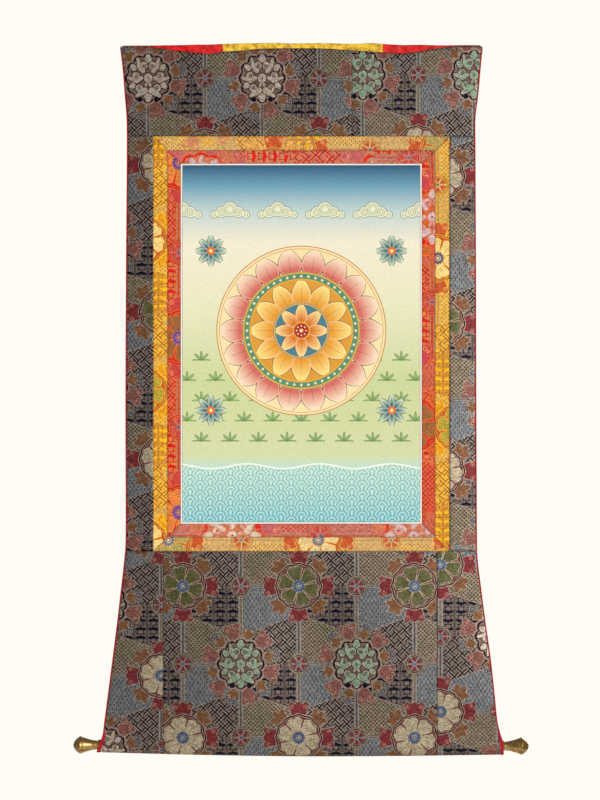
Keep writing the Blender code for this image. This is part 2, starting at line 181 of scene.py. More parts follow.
# %% Sizes and tables
PAINTING_WIDTH = 0.400
PAINTING_HEIGHT = 0.600
PAINTING_TOP = -0.2055
CANVAS_MARGIN = 0.0025
RED_STRIP = 0.0225
GOLD_STRIP = 0.0240
CLOTH = 0.0015
CANVAS = 0.0012
SILK = 0.0010
SEAM = 0.0003
MEET = 0.00004  # between two sheets that are sewn edge to edge
TOP_SEAM_X = 0.0846
SKIRT_SEAM_LEFT = -0.2328
SKIRT_SEAM_RIGHT = 0.2276
COVER_SEAM_LEFT = -0.1320
COVER_SEAM_RIGHT = 0.1370
BINDING = 0.0020
POCKET_BINDING = 0.0056
BINDING_STANDS_OUT = 0.0005
BINDING_WIDENS = (-1.150, -1.172)
COVER_INSET = 0.0050
COVER_TURN_IN = 0.0120
COVER_FOLD = 0.0017
COVER_BOTTOM = -0.8720
COVER_OFF_BACK = 0.0023
COVER_FOLDS = 0.0032
ROD_RADIUS = 0.0090
ROD_LEFT = -0.3415
ROD_RIGHT = 0.3405
ROD_HEIGHT = -1.1817
ROD_TILT = -0.0024
ROD_CLEARANCE = 0.00035
TENON_RADIUS = 0.0045
TENON_LENGTH = 0.0140
KNOB_LENGTH = 0.0420
POCKET_LEAN = 0.0040
POCKET_STITCH = 0.0360
POCKET_TAIL = 0.0080

EdgeRow = namedtuple("EdgeRow", "z left right")
SIDE_EDGES = [
    EdgeRow(-0.0050, 0.3050, 0.3052),
    EdgeRow(-0.0460, 0.3002, 0.3012),
    EdgeRow(-0.0890, 0.2968, 0.2974),
    EdgeRow(-0.1240, 0.2940, 0.2929),
    EdgeRow(-0.1700, 0.2934, 0.2929),
    EdgeRow(-0.4000, 0.2950, 0.2939),
    EdgeRow(-0.6000, 0.2959, 0.2945),
    EdgeRow(-0.8350, 0.2955, 0.2955),
    EdgeRow(-0.8660, 0.2976, 0.2964),
    EdgeRow(-0.9200, 0.3036, 0.3028),
    EdgeRow(-0.9750, 0.3099, 0.3098),
    EdgeRow(-1.0350, 0.3174, 0.3182),
    EdgeRow(-1.0860, 0.3240, 0.3238),
    EdgeRow(-1.1390, 0.3308, 0.3293),
    EdgeRow(-1.1600, 0.3334, 0.3342),
    EdgeRow(-1.1750, 0.3378, 0.3390),
    EdgeRow(-1.1930, 0.3448, 0.3404),
]
TopRow = namedtuple("TopRow", "x brocade silk")
TOP_EDGE = [
    TopRow(-0.3050, -0.0085, -0.0046),
    TopRow(-0.3020, -0.0056, -0.0040),
    TopRow(-0.2580, -0.0060, -0.0036),
    TopRow(-0.2310, -0.0100, -0.0033),
    TopRow(-0.2040, -0.0140, -0.0030),
    TopRow(-0.1770, -0.0170, -0.0025),
    TopRow(-0.1500, -0.0183, -0.0022),
    TopRow(-0.1320, -0.0150, -0.0012),
    TopRow(-0.1030, -0.0130, -0.0002),
    TopRow(-0.0710, -0.0100, 0.0001),
    TopRow(-0.0500, -0.0094, 0.0006),
    TopRow(-0.0170, -0.0090, -0.0002),
    TopRow(0.0360, -0.0094, 0.0003),
    TopRow(0.0920, -0.0130, -0.0010),
    TopRow(0.1170, -0.0146, 0.0002),
    TopRow(0.1370, -0.0160, -0.0012),
    TopRow(0.1690, -0.0178, -0.0030),
    TopRow(0.1980, -0.0146, -0.0025),
    TopRow(0.2330, -0.0087, -0.0036),
    TopRow(0.2570, -0.0060, -0.0032),
    TopRow(0.3010, -0.0048, -0.0032),
    TopRow(0.3052, -0.0080, -0.0042),
]
DropRow = namedtuple("DropRow", "x drop")
POCKET_DROP = [
    DropRow(-0.3450, 0.0012),
    DropRow(-0.1700, 0.0055),
    DropRow(0.0000, 0.0075),
    DropRow(0.1700, 0.0064),
    DropRow(0.3404, 0.0038),
]
Wave = namedtuple("Wave", "depth length shift")
Span = namedtuple("Span", "start end")
BINDING_STARTS = Span(-0.0088, -0.0125)  # it narrows to nothing under the rounded top corner
DROOPS_AT = (-0.148, 0.169)
DROOP = Wave(0.0016, 0.045, 0.0)
TOP_RIPPLE = Wave(0.0006, 0.150, 0.012)
TOP_FADES = Span(-0.02, -0.15)
SKIRT_WAVES = (Wave(0.0028, 0.370, 0.050), Wave(0.0014, 0.210, 0.037))
SKIRT_WAVES_GROW = Span(-0.86, -1.02)
SKIRT_WAVES_FADE = Span(-1.10, -1.165)
SKIRT_LEANS = Span(-0.80, -1.16)
SIDE_CURL = 0.0030
CURL_HALF_WIDTH = 0.30
COCKLE_UP = Wave(0.0010, 0.460, 0.0)
COCKLE_ACROSS = Wave(1.0, 0.500, 0.100)
BODY_STARTS = Span(-0.05, -0.30)
BODY_ENDS = Span(-0.85, -1.05)
COVER_WAVES = (Wave(1.0, 0.230, 0.033), Wave(0.5, 0.130, 0.0))
COVER_WAVES_GROW = Span(-0.05, -0.60)

FRAME_HALF = PAINTING_WIDTH / 2 + CANVAS_MARGIN + RED_STRIP + GOLD_STRIP
FRAME_TOP = PAINTING_TOP + CANVAS_MARGIN + RED_STRIP + GOLD_STRIP
FRAME_BOTTOM = PAINTING_TOP - PAINTING_HEIGHT - CANVAS_MARGIN - RED_STRIP - GOLD_STRIP
SLEEVE_RADIUS = ROD_RADIUS + ROD_CLEARANCE + CLOTH / 2
ROD_DEPTH = SLEEVE_RADIUS - POCKET_LEAN
print("picture with its borders:", 2 * FRAME_HALF, "by", round(FRAME_TOP - FRAME_BOTTOM, 4))


# %% The draping functions
def mix(a, b, share):
    return a + (b - a) * share


def ease(start, end, value):
    """0 before start, 1 past end, and a smooth step between."""
    share = min(max((value - start) / (end - start), 0.0), 1.0)
    return share * share * (3 - 2 * share)


def wave_at(wave, place):
    return wave.depth * math.sin(2 * math.pi * (place + wave.shift) / wave.length)


def curve_through(pairs):
    """A smooth curve through (place, value) pairs, each with its own slope, as a function."""
    pairs = sorted(pairs)
    places = [place for place, _ in pairs]
    values = [value for _, value in pairs]
    last = len(pairs) - 1
    slopes = []
    for k in range(len(pairs)):
        before, after = max(k - 1, 0), min(k + 1, last)
        slopes.append((values[after] - values[before]) / (places[after] - places[before]))

    def value_at(at):
        at = min(max(at, places[0]), places[-1])
        i = 0
        while i < last - 1 and places[i + 1] <= at:
            i += 1
        step = places[i + 1] - places[i]
        t = (at - places[i]) / step
        return (
            (2 * t**3 - 3 * t**2 + 1) * values[i]
            + (t**3 - 2 * t**2 + t) * step * slopes[i]
            + (3 * t**2 - 2 * t**3) * values[i + 1]
            + (t**3 - t**2) * step * slopes[i + 1]
        )

    return value_at


left_edge = curve_through([(row.z, -row.left) for row in SIDE_EDGES])
right_edge = curve_through([(row.z, row.right) for row in SIDE_EDGES])
brocade_top = curve_through([(row.x, row.brocade) for row in TOP_EDGE])
silk_top = curve_through([(row.x, row.silk) for row in TOP_EDGE])
pocket_drop = curve_through([(row.x, row.drop) for row in POCKET_DROP])

Noise = namedtuple("Noise", "depth length drawn_out slice")
UNEVEN = (Noise(0.00035, 0.060, 2, 1.7), Noise(0.00010, 0.013, 2, 6.1))


def noise_at(layer, x, z):
    """Smooth noise, drawn out down the cloth. Each layer takes its own slice of it."""
    place = Vector((x / layer.length, z / layer.length / layer.drawn_out, layer.slice))
    return layer.depth * noise.noise(place)


def unevenness(x, z):
    """The cloth's fine rise and fall, longer down the cloth than across it."""
    return sum(noise_at(layer, x, z) for layer in UNEVEN)


def hang(x, z):
    """The Y of the cloth's middle surface."""
    skirt = ease(*SKIRT_WAVES_GROW, z) * (1 - ease(*SKIRT_WAVES_FADE, z))
    waves = sum(wave_at(wave, x) for wave in SKIRT_WAVES)
    lean = -POCKET_LEAN * ease(*SKIRT_LEANS, z)
    near_top = 1 - ease(*TOP_FADES, z)
    droop = -DROOP.depth * sum(math.exp(-(((x - at) / DROOP.length) ** 2)) for at in DROOPS_AT)
    body = ease(*BODY_STARTS, z) * (1 - ease(*BODY_ENDS, z))
    curl = SIDE_CURL * (abs(x) / CURL_HALF_WIDTH) ** 4
    cockle = wave_at(COCKLE_UP, z) * wave_at(COCKLE_ACROSS, x)
    top = near_top * (wave_at(TOP_RIPPLE, x) + droop)
    return skirt * waves + lean + top + body * (curl + cockle) + unevenness(x, z)


def binding_width(z):
    return mix(BINDING, POCKET_BINDING, ease(*BINDING_WIDENS, z)) * ease(*BINDING_STARTS, z)


def cloth_edge(side, z):
    """The X of the brocade's outer edge, inside the binding and out to the outline above it."""
    inset = binding_width(z) + MEET
    return left_edge(z) + inset if side == "left" else right_edge(z) - inset


print("waist:", round(right_edge(-0.17) - left_edge(-0.17), 4), "hem:", round(right_edge(-1.19) * 2, 4))

# %% [markdown]
# ## A sheet of cloth
#
# Each piece is a grid of spots on the cloth's middle surface. A spot knows where it hangs and where it
# lay in the flat cut, so the weave runs with the cloth and the flat size can be worked out. The grid
# gets its thickness along its own normals, and its edges roll under by a fraction of a millimetre, which
# makes the soft groove of a pressed seam where two pieces meet.

# %% Sheets from grids of spots
STEP = 0.0042  # spacing of the spots
EDGE_STEPS = (0.0006, 0.0016, 0.0028)  # extra spots beside an edge, for the roll of a seam
CLEAR_OF_EDGE = 1.4  # the even spots start this many times as far in as the last extra one
SEAM_ROLL = 0.00045
SEAM_REACH = 0.0013
SHARP_EDGE = 40  # degrees

# x, y, z: where it hangs. across, down: where it lay in the flat cut. seam: 1 in a seam, 0 elsewhere.
# A seam rolls the cloth's edge under, and its colour is darkened there as painted shade.
Spot = namedtuple("Spot", "x y z across down seam", defaults=[0.0])


def spaced(start, end, step=STEP):
    """Even fractions from 0 to 1 for a length cut into steps of about this size."""
    count = max(1, round(abs(end - start) / step))
    return [i / count for i in range(count + 1)]


def seamed(start, end, step=STEP):
    """Fractions from 0 to 1 with extra ones beside both ends, where the cloth rolls into its seams."""
    length = abs(end - start)
    near = [reach / length for reach in EDGE_STEPS]
    clear = near[-1] * CLEAR_OF_EDGE
    inner = [share for share in spaced(start, end, step) if clear < share < 1 - clear]
    return [0.0] + near + inner + [1 - share for share in reversed(near)] + [1.0]


def near_seam(*distances):
    """1 at a seam and 0 a few millimetres from it, from the distances to the edges."""
    return max(math.exp(-((distance / SEAM_REACH) ** 2)) for distance in distances)


def flat_size(grid):
    """The flat cut's (width, length) and its area, from the spots' places in it."""
    across = [spot.across for row in grid for spot in row]
    down = [spot.down for row in grid for spot in row]
    area = 0.0
    for upper, lower in zip(grid, grid[1:]):
        for a, b, c, d in zip(upper, upper[1:], lower[1:], lower):
            area += 0.5 * abs(
                (c.across - a.across) * (d.down - b.down) - (d.across - b.across) * (c.down - a.down)
            )
    size = (max(across) - min(across), max(down) - min(down))
    return size, min(area, size[0] * size[1])


def grid_normals(grid):
    """Each spot's place and outward normal, which is -Y where columns run along +X and rows down."""
    places = [[Vector((spot.x, spot.y, spot.z)) for spot in row] for row in grid]
    last_row, last_column = len(grid) - 1, len(grid[0]) - 1
    normals = []
    for r, row in enumerate(places):
        above, below = places[max(r - 1, 0)], places[min(r + 1, last_row)]
        line = []
        for c in range(len(row)):
            along = row[min(c + 1, last_column)] - row[max(c - 1, 0)]
            line.append((below[c] - above[c]).cross(along).normalized())
        normals.append(line)
    return places, normals


def sheet_faces(rows, columns):
    """The quads of a closed sheet of two layers: its outer face, its inner face and its rim."""
    behind = rows * columns
    outer, inner, rim = [], [], []
    for r in range(rows - 1):
        first, last = r * columns, r * columns + columns - 1
        for v in range(first, last):
            quad = (v, v + columns, v + columns + 1, v + 1)
            outer.append(quad)
            inner.append(tuple(behind + corner for corner in reversed(quad)))
        rim.append((first + columns, first, behind + first, behind + first + columns))
        rim.append((last, last + columns, behind + last + columns, behind + last))
    for c in range(columns - 1):
        first, last = c, (rows - 1) * columns + c
        rim.append((first, first + 1, behind + first + 1, behind + first))
        rim.append((last + 1, last, behind + last, behind + last + 1))
    return outer, inner, rim


def make_sheet(name, grid, half, front, back=None, pattern=None, crown=None):
    """A closed sheet, half its thickness to each side of the grid, and further out by the crown.

    pattern turns a place in the flat cut into its place on the cloth.
    """
    places, normals = grid_normals(grid)
    rows, columns = len(grid), len(grid[0])
    spots = [(r, c) for r in range(rows) for c in range(columns)]
    verts = [places[r][c] + normals[r][c] * (half + crown(r, c) if crown else half) for r, c in spots]
    verts += [places[r][c] - normals[r][c] * half for r, c in spots]
    outer, inner, rim = sheet_faces(rows, columns)
    mesh = bpy.data.meshes.new(name)
    mesh.from_pydata(verts, [], outer + inner + rim)
    flat = [(spot.across, spot.down) for row in grid for spot in row] * 2
    layer = mesh.uv_layers.new(name="flat")
    if pattern:
        for polygon in mesh.polygons:
            corners = [flat[v] for v in polygon.vertices]
            middle = [sum(corner[i] for corner in corners) / 4 for i in (0, 1)]
            for loop, corner in zip(polygon.loop_indices, corners):
                layer.data[loop].uv = pattern(middle, *corner)
    else:
        layer.data.foreach_set("uv", [value for loop in mesh.loops for value in flat[loop.vertex_index]])
    # How far each spot lies in a seam, for the seam's painted shade.
    seams = mesh.attributes.new("seam", "FLOAT", "POINT")
    seams.data.foreach_set("value", [spot.seam for row in grid for spot in row] * 2)
    mesh.materials.append(front)
    mesh.materials.append(back or front)
    for polygon in mesh.polygons[len(outer) : len(outer) + len(inner)]:
        polygon.material_index = 1
    mesh.shade_smooth()
    mesh.set_sharp_from_angle(angle=math.radians(SHARP_EDGE))
    return add_object(name, mesh)


def declare(piece, node, grid, layers=1):
    """The piece rides on the body and stands for its node, which is hidden. Its flat size and area are
    printed.

    A cloth that is folded over an edge has two layers, so it is cut twice as wide as it shows.
    """
    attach(piece, "root")
    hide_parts(node)
    size, area = flat_size(grid)
    size, area = (size[0] * layers, size[1]), area * layers
    print(piece.name, "cut", [round(side, 3) for side in size], "area", round(area, 4))


print("spots every", STEP * 1000, "mm, and beside a seam at", [reach * 1000 for reach in EDGE_STEPS])

# %% [markdown]
# ## Numbers that a shader works out
#
# The figure needs distances, angles and folds at every point of the cloth. `Field` lets them be written
# with ordinary signs: each operation adds one Math node to the group. `Painter` lays a colour over what
# is there, wherever a mask is 1. Masks are worked out just before they are used, one after the other,
# because the renderer keeps only a small number of values at a time.

# %% Fields and painters
SOFT = 0.30  # millimetres over which a woven edge changes colour
HARD = 0.01
MIX_FACTOR, MIX_UNDER, MIX_OVER, MIX_RESULT = 0, 6, 7, 2  # where a Mix node has its colour sockets


class Field:
    """A number at each point of a surface."""

    def __init__(self, tree, socket):
        self.tree = tree
        self.socket = socket

    def __add__(self, other):
        return calculate("ADD", self, other)

    def __radd__(self, other):
        return calculate("ADD", other, self)

    def __sub__(self, other):
        return calculate("SUBTRACT", self, other)

    def __rsub__(self, other):
        return calculate("SUBTRACT", other, self)

    def __mul__(self, other):
        return calculate("MULTIPLY", self, other)

    def __rmul__(self, other):
        return calculate("MULTIPLY", other, self)

    def __truediv__(self, other):
        return calculate("DIVIDE", self, other)

    def __abs__(self):
        return calculate("ABSOLUTE", self)


def plug(tree, value, socket):
    """Feed a socket with a field, another socket or a plain value."""
    if isinstance(value, Field):
        value = value.socket
    if isinstance(value, bpy.types.NodeSocket):
        tree.links.new(value, socket)
    else:
        socket.default_value = value


def calculate(operation, *terms, clamp=False):
    """One Math node. Its terms are fields or plain numbers."""
    tree = next(term.tree for term in terms if isinstance(term, Field))
    node = add_node(tree, "Math", operation=operation, use_clamp=clamp)
    for term, socket in zip(terms, node.inputs):
        plug(tree, term, socket)
    return Field(tree, node.outputs[0])


def multiply_add(value, factor, extra, clamp=False):
    return calculate("MULTIPLY_ADD", value, factor, extra, clamp=clamp)


def least(first, *others):
    for other in others:
        first = calculate("MINIMUM", first, other)
    return first


def most(first, *others):
    for other in others:
        first = calculate("MAXIMUM", first, other)
    return first


def wrap(value, period):
    """The value brought to within half a period of 0."""
    return calculate("WRAP", value, period / 2, -period / 2)


def fold(value, half):
    """A zigzag from 0 to half and back."""
    return calculate("PINGPONG", value, half)


def sine(value):
    return calculate("SINE", value)


def cosine(value):
    return calculate("COSINE", value)


def nearest(value):
    return calculate("ROUND", value)


def floor_of(value):
    return calculate("FLOOR", value)


def remainder(value, period):
    return calculate("FLOORED_MODULO", value, period)


def length_of(x, y):
    return calculate("SQRT", multiply_add(x, x, y * y))


def polar(x, y):
    return length_of(x, y), calculate("ARCTAN2", y, x)


def choose(first, second, which):
    """first where which is 0, second where it is 1."""
    return multiply_add(second - first, which, first)


def below(value, limit, soft=SOFT):
    """1 where the value is under the limit."""
    if isinstance(limit, Field):
        return multiply_add(limit - value, 1 / soft, 0.5, clamp=True)
    return multiply_add(value, -1 / soft, limit / soft + 0.5, clamp=True)


def above(value, limit, soft=SOFT):
    if isinstance(limit, Field):
        return multiply_add(value - limit, 1 / soft, 0.5, clamp=True)
    return multiply_add(value, 1 / soft, 0.5 - limit / soft, clamp=True)


def band(value, middle, half, soft=SOFT):
    """1 where the value is within half of the middle."""
    return below(abs(value - middle), half, soft)


def vector_of(x, y):
    node = add_node(x.tree, "CombineXYZ")
    plug(x.tree, x, node.inputs["X"])
    plug(x.tree, y, node.inputs["Y"])
    return node.outputs[0]


def split(tree, vector):
    """The X and Y of a vector, as fields."""
    node = add_node(tree, "SeparateXYZ")
    tree.links.new(vector, node.inputs[0])
    return Field(tree, node.outputs["X"]), Field(tree, node.outputs["Y"])


def vector_math(tree, operation, *terms):
    """One Vector Math node. Its terms are sockets or plain vectors."""
    node = add_node(tree, "VectorMath", operation=operation)
    for term, socket in zip(terms, node.inputs):
        plug(tree, term, socket)
    return node


def taper(tree, place, start, end, wide, narrow):
    """How far the place is outside a stroke from start to end, which narrows from wide to narrow."""
    run = Vector((end[0] - start[0], end[1] - start[1], 0))
    offset = vector_math(tree, "SUBTRACT", place, (*start, 0)).outputs["Vector"]
    if run.length == 0:
        return Field(tree, vector_math(tree, "LENGTH", offset).outputs["Value"]) - wide
    share = vector_math(tree, "DOT_PRODUCT", offset, run / run.length_squared).outputs["Value"]
    share = calculate("ADD", Field(tree, share), 0.0, clamp=True)
    along = vector_math(tree, "SCALE", run)
    plug(tree, share, along.inputs["Scale"])
    off = vector_math(tree, "DISTANCE", offset, along.outputs["Vector"]).outputs["Value"]
    return multiply_add(share, wide - narrow, Field(tree, off)) - wide


Stroke = namedtuple("Stroke", "start end wide narrow")


def outside(tree, place, strokes):
    """How far the place is outside the nearest of the strokes."""
    return least(*[taper(tree, place, *stroke) for stroke in strokes])


def mix_colours(tree, factor, under, over, blend="MIX"):
    """One Mix node for colours, as its result."""
    node = add_node(tree, "Mix", data_type="RGBA", blend_type=blend)
    for value, place in ((factor, MIX_FACTOR), (under, MIX_UNDER), (over, MIX_OVER)):
        plug(tree, value, node.inputs[place])
    return node.outputs[MIX_RESULT]


class Painter:
    """Lays colours over each other. A colour is a socket, a plain colour or a name in the palette."""

    def __init__(self, tree, colour, palette=None):
        self.tree = tree
        self.palette = palette or {}
        self.colour = self.named(colour)

    def named(self, colour):
        return self.palette[colour] if isinstance(colour, str) else colour

    def fresh(self, colour):
        """A painter with the same palette that starts again from one colour."""
        return Painter(self.tree, colour, self.palette)

    def paint(self, mask, colour):
        self.colour = mix_colours(self.tree, mask, self.colour, self.named(colour))

    def fill(self, value, limit, colour, where=None, soft=SOFT):
        """Paint where the value is under the limit, and only where that other mask is 1."""
        mask = below(value, limit, soft)
        self.paint(mask if where is None else mask * where, colour)

    def line(self, value, middle, half, colour, where=None, soft=SOFT):
        """Paint where the value is within half of the middle."""
        self.fill(abs(value - middle), half, colour, where, soft)


def new_group(name, inputs, outputs):
    """A shader node group with named sockets, as its tree, its input node and its output node."""
    tree = bpy.data.node_groups.new(name, "ShaderNodeTree")
    for label, kind, value in inputs:
        socket = tree.interface.new_socket(label, in_out="INPUT", socket_type=f"NodeSocket{kind}")
        if value is not None:
            socket.default_value = value
    for label, kind in outputs:
        tree.interface.new_socket(label, in_out="OUTPUT", socket_type=f"NodeSocket{kind}")
    return tree, tree.nodes.new("NodeGroupInput"), tree.nodes.new("NodeGroupOutput")


print("a woven edge is soft over", SOFT, "mm")

# %% [markdown]
# ## The brocade's figure
#
# The cloth repeats every 195.5 mm across and 254 mm down, in two sets of places half a repeat apart.
# Flowers stand in one set and medallions in the other, and small rosettes midway between them. Each
# rosette is the middle of four grounds: a key fret, a trellis, rows of roofs and an ogee wave. All of
# it is measured in millimetres of flat cloth. The gold and the red borders are the same figure woven in
# other colours, so every colour is an input of the group.

# %% Colours of the three weaves
Tones = namedtuple("Tones", "dark gold red")
MOTIF_TONES = {
    "ground": Tones((106, 102, 102), (228, 168, 56), (206, 84, 45)),
    "outline": Tones((153, 140, 129), (240, 184, 62), (220, 112, 62)),
    "line": Tones((9, 6, 10), (176, 104, 38), (196, 26, 19)),
    "fret ground": Tones((108, 95, 91), (234, 176, 52), (212, 98, 58)),
    "fret light": Tones((168, 150, 138), (244, 194, 72), (222, 124, 77)),
    "trellis": Tones((140, 126, 104), (240, 196, 92), (214, 92, 58)),
    "trellis ground": Tones((108, 97, 82), (214, 156, 58), (196, 56, 37)),
    "ogee": Tones((97, 100, 105), (232, 184, 88), (196, 76, 53)),
    "ogee light": Tones((140, 142, 140), (188, 132, 62), (216, 122, 78)),
    "roof": Tones((11, 11, 32), (250, 190, 20), (214, 30, 21)),
    "roof ground": Tones((112, 98, 93), (216, 150, 44), (218, 122, 67)),
    "bar": Tones((150, 146, 137), (206, 180, 112), (190, 128, 96)),
    "bar line": Tones((136, 106, 66), (196, 110, 44), (192, 48, 32)),
    "palmette": Tones((120, 47, 51), (202, 88, 44), (202, 66, 59)),
    "curl": Tones((178, 132, 116), (240, 186, 96), (232, 150, 96)),
    "leaf": Tones((126, 88, 60), (240, 170, 28), (214, 100, 40)),
    "fan": Tones((132, 86, 80), (212, 124, 62), (204, 70, 76)),
    "cloudlet": Tones((76, 90, 118), (166, 160, 132), (168, 122, 142)),
    "petal": Tones((86, 89, 50), (176, 158, 54), (150, 98, 50)),
    "other petal": Tones((178, 166, 138), (246, 212, 136), (226, 134, 62)),
    "petal line": Tones((114, 64, 56), (188, 78, 40), (206, 46, 27)),
    "rim": Tones((106, 62, 58), (198, 84, 40), (208, 34, 21)),
    "edging": Tones((192, 169, 152), (250, 190, 56), (228, 118, 58)),
    "scroll": Tones((128, 162, 138), (226, 196, 104), (216, 184, 188)),
    "other scroll": Tones((185, 176, 161), (244, 216, 140), (232, 208, 184)),
    "scroll ground": Tones((112, 94, 85), (214, 150, 66), (212, 104, 48)),
    "scroll line": Tones((78, 52, 45), (190, 104, 48), (200, 90, 43)),
    "floret": Tones((74, 94, 128), (96, 96, 128), (96, 76, 150)),
}


def weave_of(cloth):
    """The colours of one cloth's weave, by the names of the motifs."""
    return {motif: tone(*getattr(tones, cloth)) for motif, tones in MOTIF_TONES.items()}


DARK_WEAVE, GOLD_WEAVE, RED_WEAVE = (weave_of(cloth) for cloth in Tones._fields)
print("colours in each weave:", len(MOTIF_TONES))

# %% The four grounds about each rosette
ACROSS = 195.5  # the repeat, in millimetres
DOWN = 254.0
ROW_DROP = 3.4  # the medallions' row lies this much below the middle between two rows of flowers
METRIC = 0.36  # a ground's upper and lower limits slope at this rate
FRET = 4.7
FRET_REPEAT = 10.0  # a fret line is on for five units of every ten, three units later in each next line
FRET_ON = 4.5
FRET_SHIFT = 3.0
FRET_START = 3.0
TRELLIS = 4.9
OGEE = 3.5
OGEE_WAVE = 11.0
OGEE_SWAY = 0.95
ROOF_ACROSS = 21.8
ROOF_DOWN = 15.0
ROOF_SHIFT = (0.6 * ROOF_ACROSS, 14.0)
BAR_REACH = 46.0  # how far the level bars run beside the rosette
DIAGONAL = math.sqrt(0.5)


def paint_fret(painter, x, y, here):
    """A key fret at 45 degrees, of dark lines with a pale one along each side."""
    along = multiply_add(x, DIAGONAL / FRET, y * (DIAGONAL / FRET))
    up = multiply_add(y, DIAGONAL / FRET, x * (-DIAGONAL / FRET))
    near_along, near_up = nearest(along), nearest(up)
    off_along, off_up = abs(along - near_along), abs(up - near_up)
    painter.paint(here, "fret ground")
    run = remainder(multiply_add(near_along, -FRET_SHIFT, floor_of(up)), FRET_REPEAT)
    first = below(run, FRET_ON, HARD)
    run = remainder(multiply_add(near_up, FRET_SHIFT, floor_of(along) + FRET_START), FRET_REPEAT)
    second = below(run, FRET_ON, HARD)
    pale = most(above(off_along, 0.40, 0.08) * first, above(off_up, 0.40, 0.08) * second)
    painter.paint(pale * here, "fret light")
    dark = most(below(off_along, 0.20, 0.06) * first, below(off_up, 0.20, 0.06) * second)
    painter.paint(dark * here, "line")


def paint_trellis(painter, x, y, here):
    """A small trellis, with a dark stitch in each opening."""
    along = fold((x + y) * DIAGONAL, TRELLIS / 2)
    up = fold((y - x) * DIAGONAL, TRELLIS / 2)
    painter.paint(here, "trellis ground")
    painter.fill(least(along, up), 0.75, "trellis", here, 0.5)
    painter.fill(along + up, 1.1, "outline", here, 0.5)
    painter.paint(above(along + up, TRELLIS - 1.25, 0.5) * here, "line")


def paint_roofs(painter, x, y, here):
    """Storeys of a pavilion: each roof is a low peak with drooping ends, on posts with a rail."""
    beside = abs(wrap(x + ROOF_SHIFT[0], ROOF_ACROSS))
    height = wrap(y + ROOF_SHIFT[1], ROOF_DOWN)
    painter.paint(here, "roof ground")
    painter.paint(band(height, -3.6, 2.2) * below(beside, 3.4) * here * 0.22, "outline")
    posts = band(beside, 4.4, 0.75) * below(height, 0.5)
    rail = band(height, -6.3, 0.6) * below(beside, 7.0)
    painter.paint(most(posts, rail) * here, "line")
    eaves = beside * beside * -0.012
    peak = multiply_add(beside, -0.32, 5.7)
    roof = above(height, eaves) * below(height, peak) * below(beside, 8.8)
    painter.paint(most(roof, below(beside, 0.9) * band(height, 5.6, 2.0)) * here, "roof")
    beads = length_of(beside - 10.3, fold(height, ROOF_DOWN / 4) - 1.9)
    painter.fill(beads, 0.95, "line", here)


def paint_ogee(painter, x, y, here):
    """Upright lines that wave towards and away from each other, with a stitch in each wide place."""
    line = nearest(x / OGEE)
    side = multiply_add(remainder(line, 2.0), -2.0, 1.0)
    sway = sine(y * (2 * math.pi / OGEE_WAVE))
    off = abs(multiply_add(sway * side, -OGEE_SWAY, x) - line * OGEE)
    painter.paint(here, "ogee")
    painter.paint(above(off, 1.9, 0.6) * here * 0.4, "cloudlet")
    painter.paint(above(off, 2.45, 0.4) * here * 0.8, "line")
    painter.fill(off, 0.55, "ogee light", here, 0.5)


def paint_bars(painter, x, y, right, high):
    """The bars between the grounds, level ones to the right and upright ones above and below."""
    painter.line(y, 0.0, 3.6, "ground", right * below(x, BAR_REACH))
    painter.line(abs(y), 2.0, 0.6, "bar", right * below(x, BAR_REACH), 0.5)
    beside = abs(x)
    painter.fill(beside, 4.6, "ground")
    painter.line(beside, 2.9, 0.9, "bar", soft=0.5)
    painter.fill(beside, 0.7, "bar line", 1.0 - high)
    painter.fill(beside, 0.55, "scroll line", high)


def paint_grounds(painter, ax, ay, bx, by):
    """The grounds and the bars, laid out about the nearest rosette. Returns the rosette's x and y."""
    first = multiply_add(abs(ax), METRIC, abs(by))
    second = multiply_add(abs(bx), METRIC, abs(ay))
    margin = second - first
    which = below(margin, 0.0, 0.02)
    x = choose(ax, bx, which)
    y = choose(by, ay, which)
    right, high = above(x, 0.0, 0.1), above(y, 0.0, 0.1)
    left, low = 1.0 - right, 1.0 - high
    paint_fret(painter, x, y, left * high)
    paint_trellis(painter, x, y, right * high)
    paint_roofs(painter, x, y, left * low)
    paint_ogee(painter, x, y, right * low)
    painter.fill(abs(margin), 1.3, "outline", soft=0.5)
    paint_bars(painter, x, y, right, high)
    return x, y


def paint_rosette(painter, x, y):
    """A small ringed flower of six petals."""
    radius, angle = polar(x, y)
    painter.fill(radius, 18.2, "ground")
    painter.line(radius, 16.9, 0.7, "bar line")
    painter.line(radius, 15.4, 0.5, "outline")
    petal = fold(angle - math.pi / 6, math.pi / 6)
    beside = radius * sine(math.pi / 6 - petal)
    painter.line(radius, 13.8, 0.8, "line", above(beside, 1.6))
    painter.fill(radius, 12.8, "bar")
    painter.line(radius, 7.9, 4.2, "palmette", above(beside, 1.2))
    painter.fill(beside, 0.35, "ogee", below(radius, 12.6))
    painter.fill(radius, 2.2, "floret")


print("repeat:", ACROSS, "by", DOWN, "mm")

# %% The flower and its palmettes
THIRTY = math.pi / 6
SCALLOP_CUSPS = 6.0  # cusps in a half turn of the zigzag
PALMETTE_LOBE = 13.0
CORNER_LEAF = [
    Stroke((46.0, 0.0), (55.6, 0.0), 7.4, 4.4),
    Stroke((47.0, 5.0), (50.6, 11.8), 5.6, 3.8),
    Stroke((42.0, 4.0), (41.5, 9.6), 4.4, 3.0),
]
# Rings from the outside in: the scalloped edge's reach, and the colour inside it.
FLOWER_RINGS = [(38.6, "edging"), (37.7, "line"), (35.2, "edging"), (34.5, "rim")]


def scallops(angle):
    """Twelve scallops round a motif: the zigzag angle from every other cusp, and the scallops' rise."""
    zigzag = fold(angle - THIRTY / 2, THIRTY)
    return zigzag, sine(zigzag * SCALLOP_CUSPS)


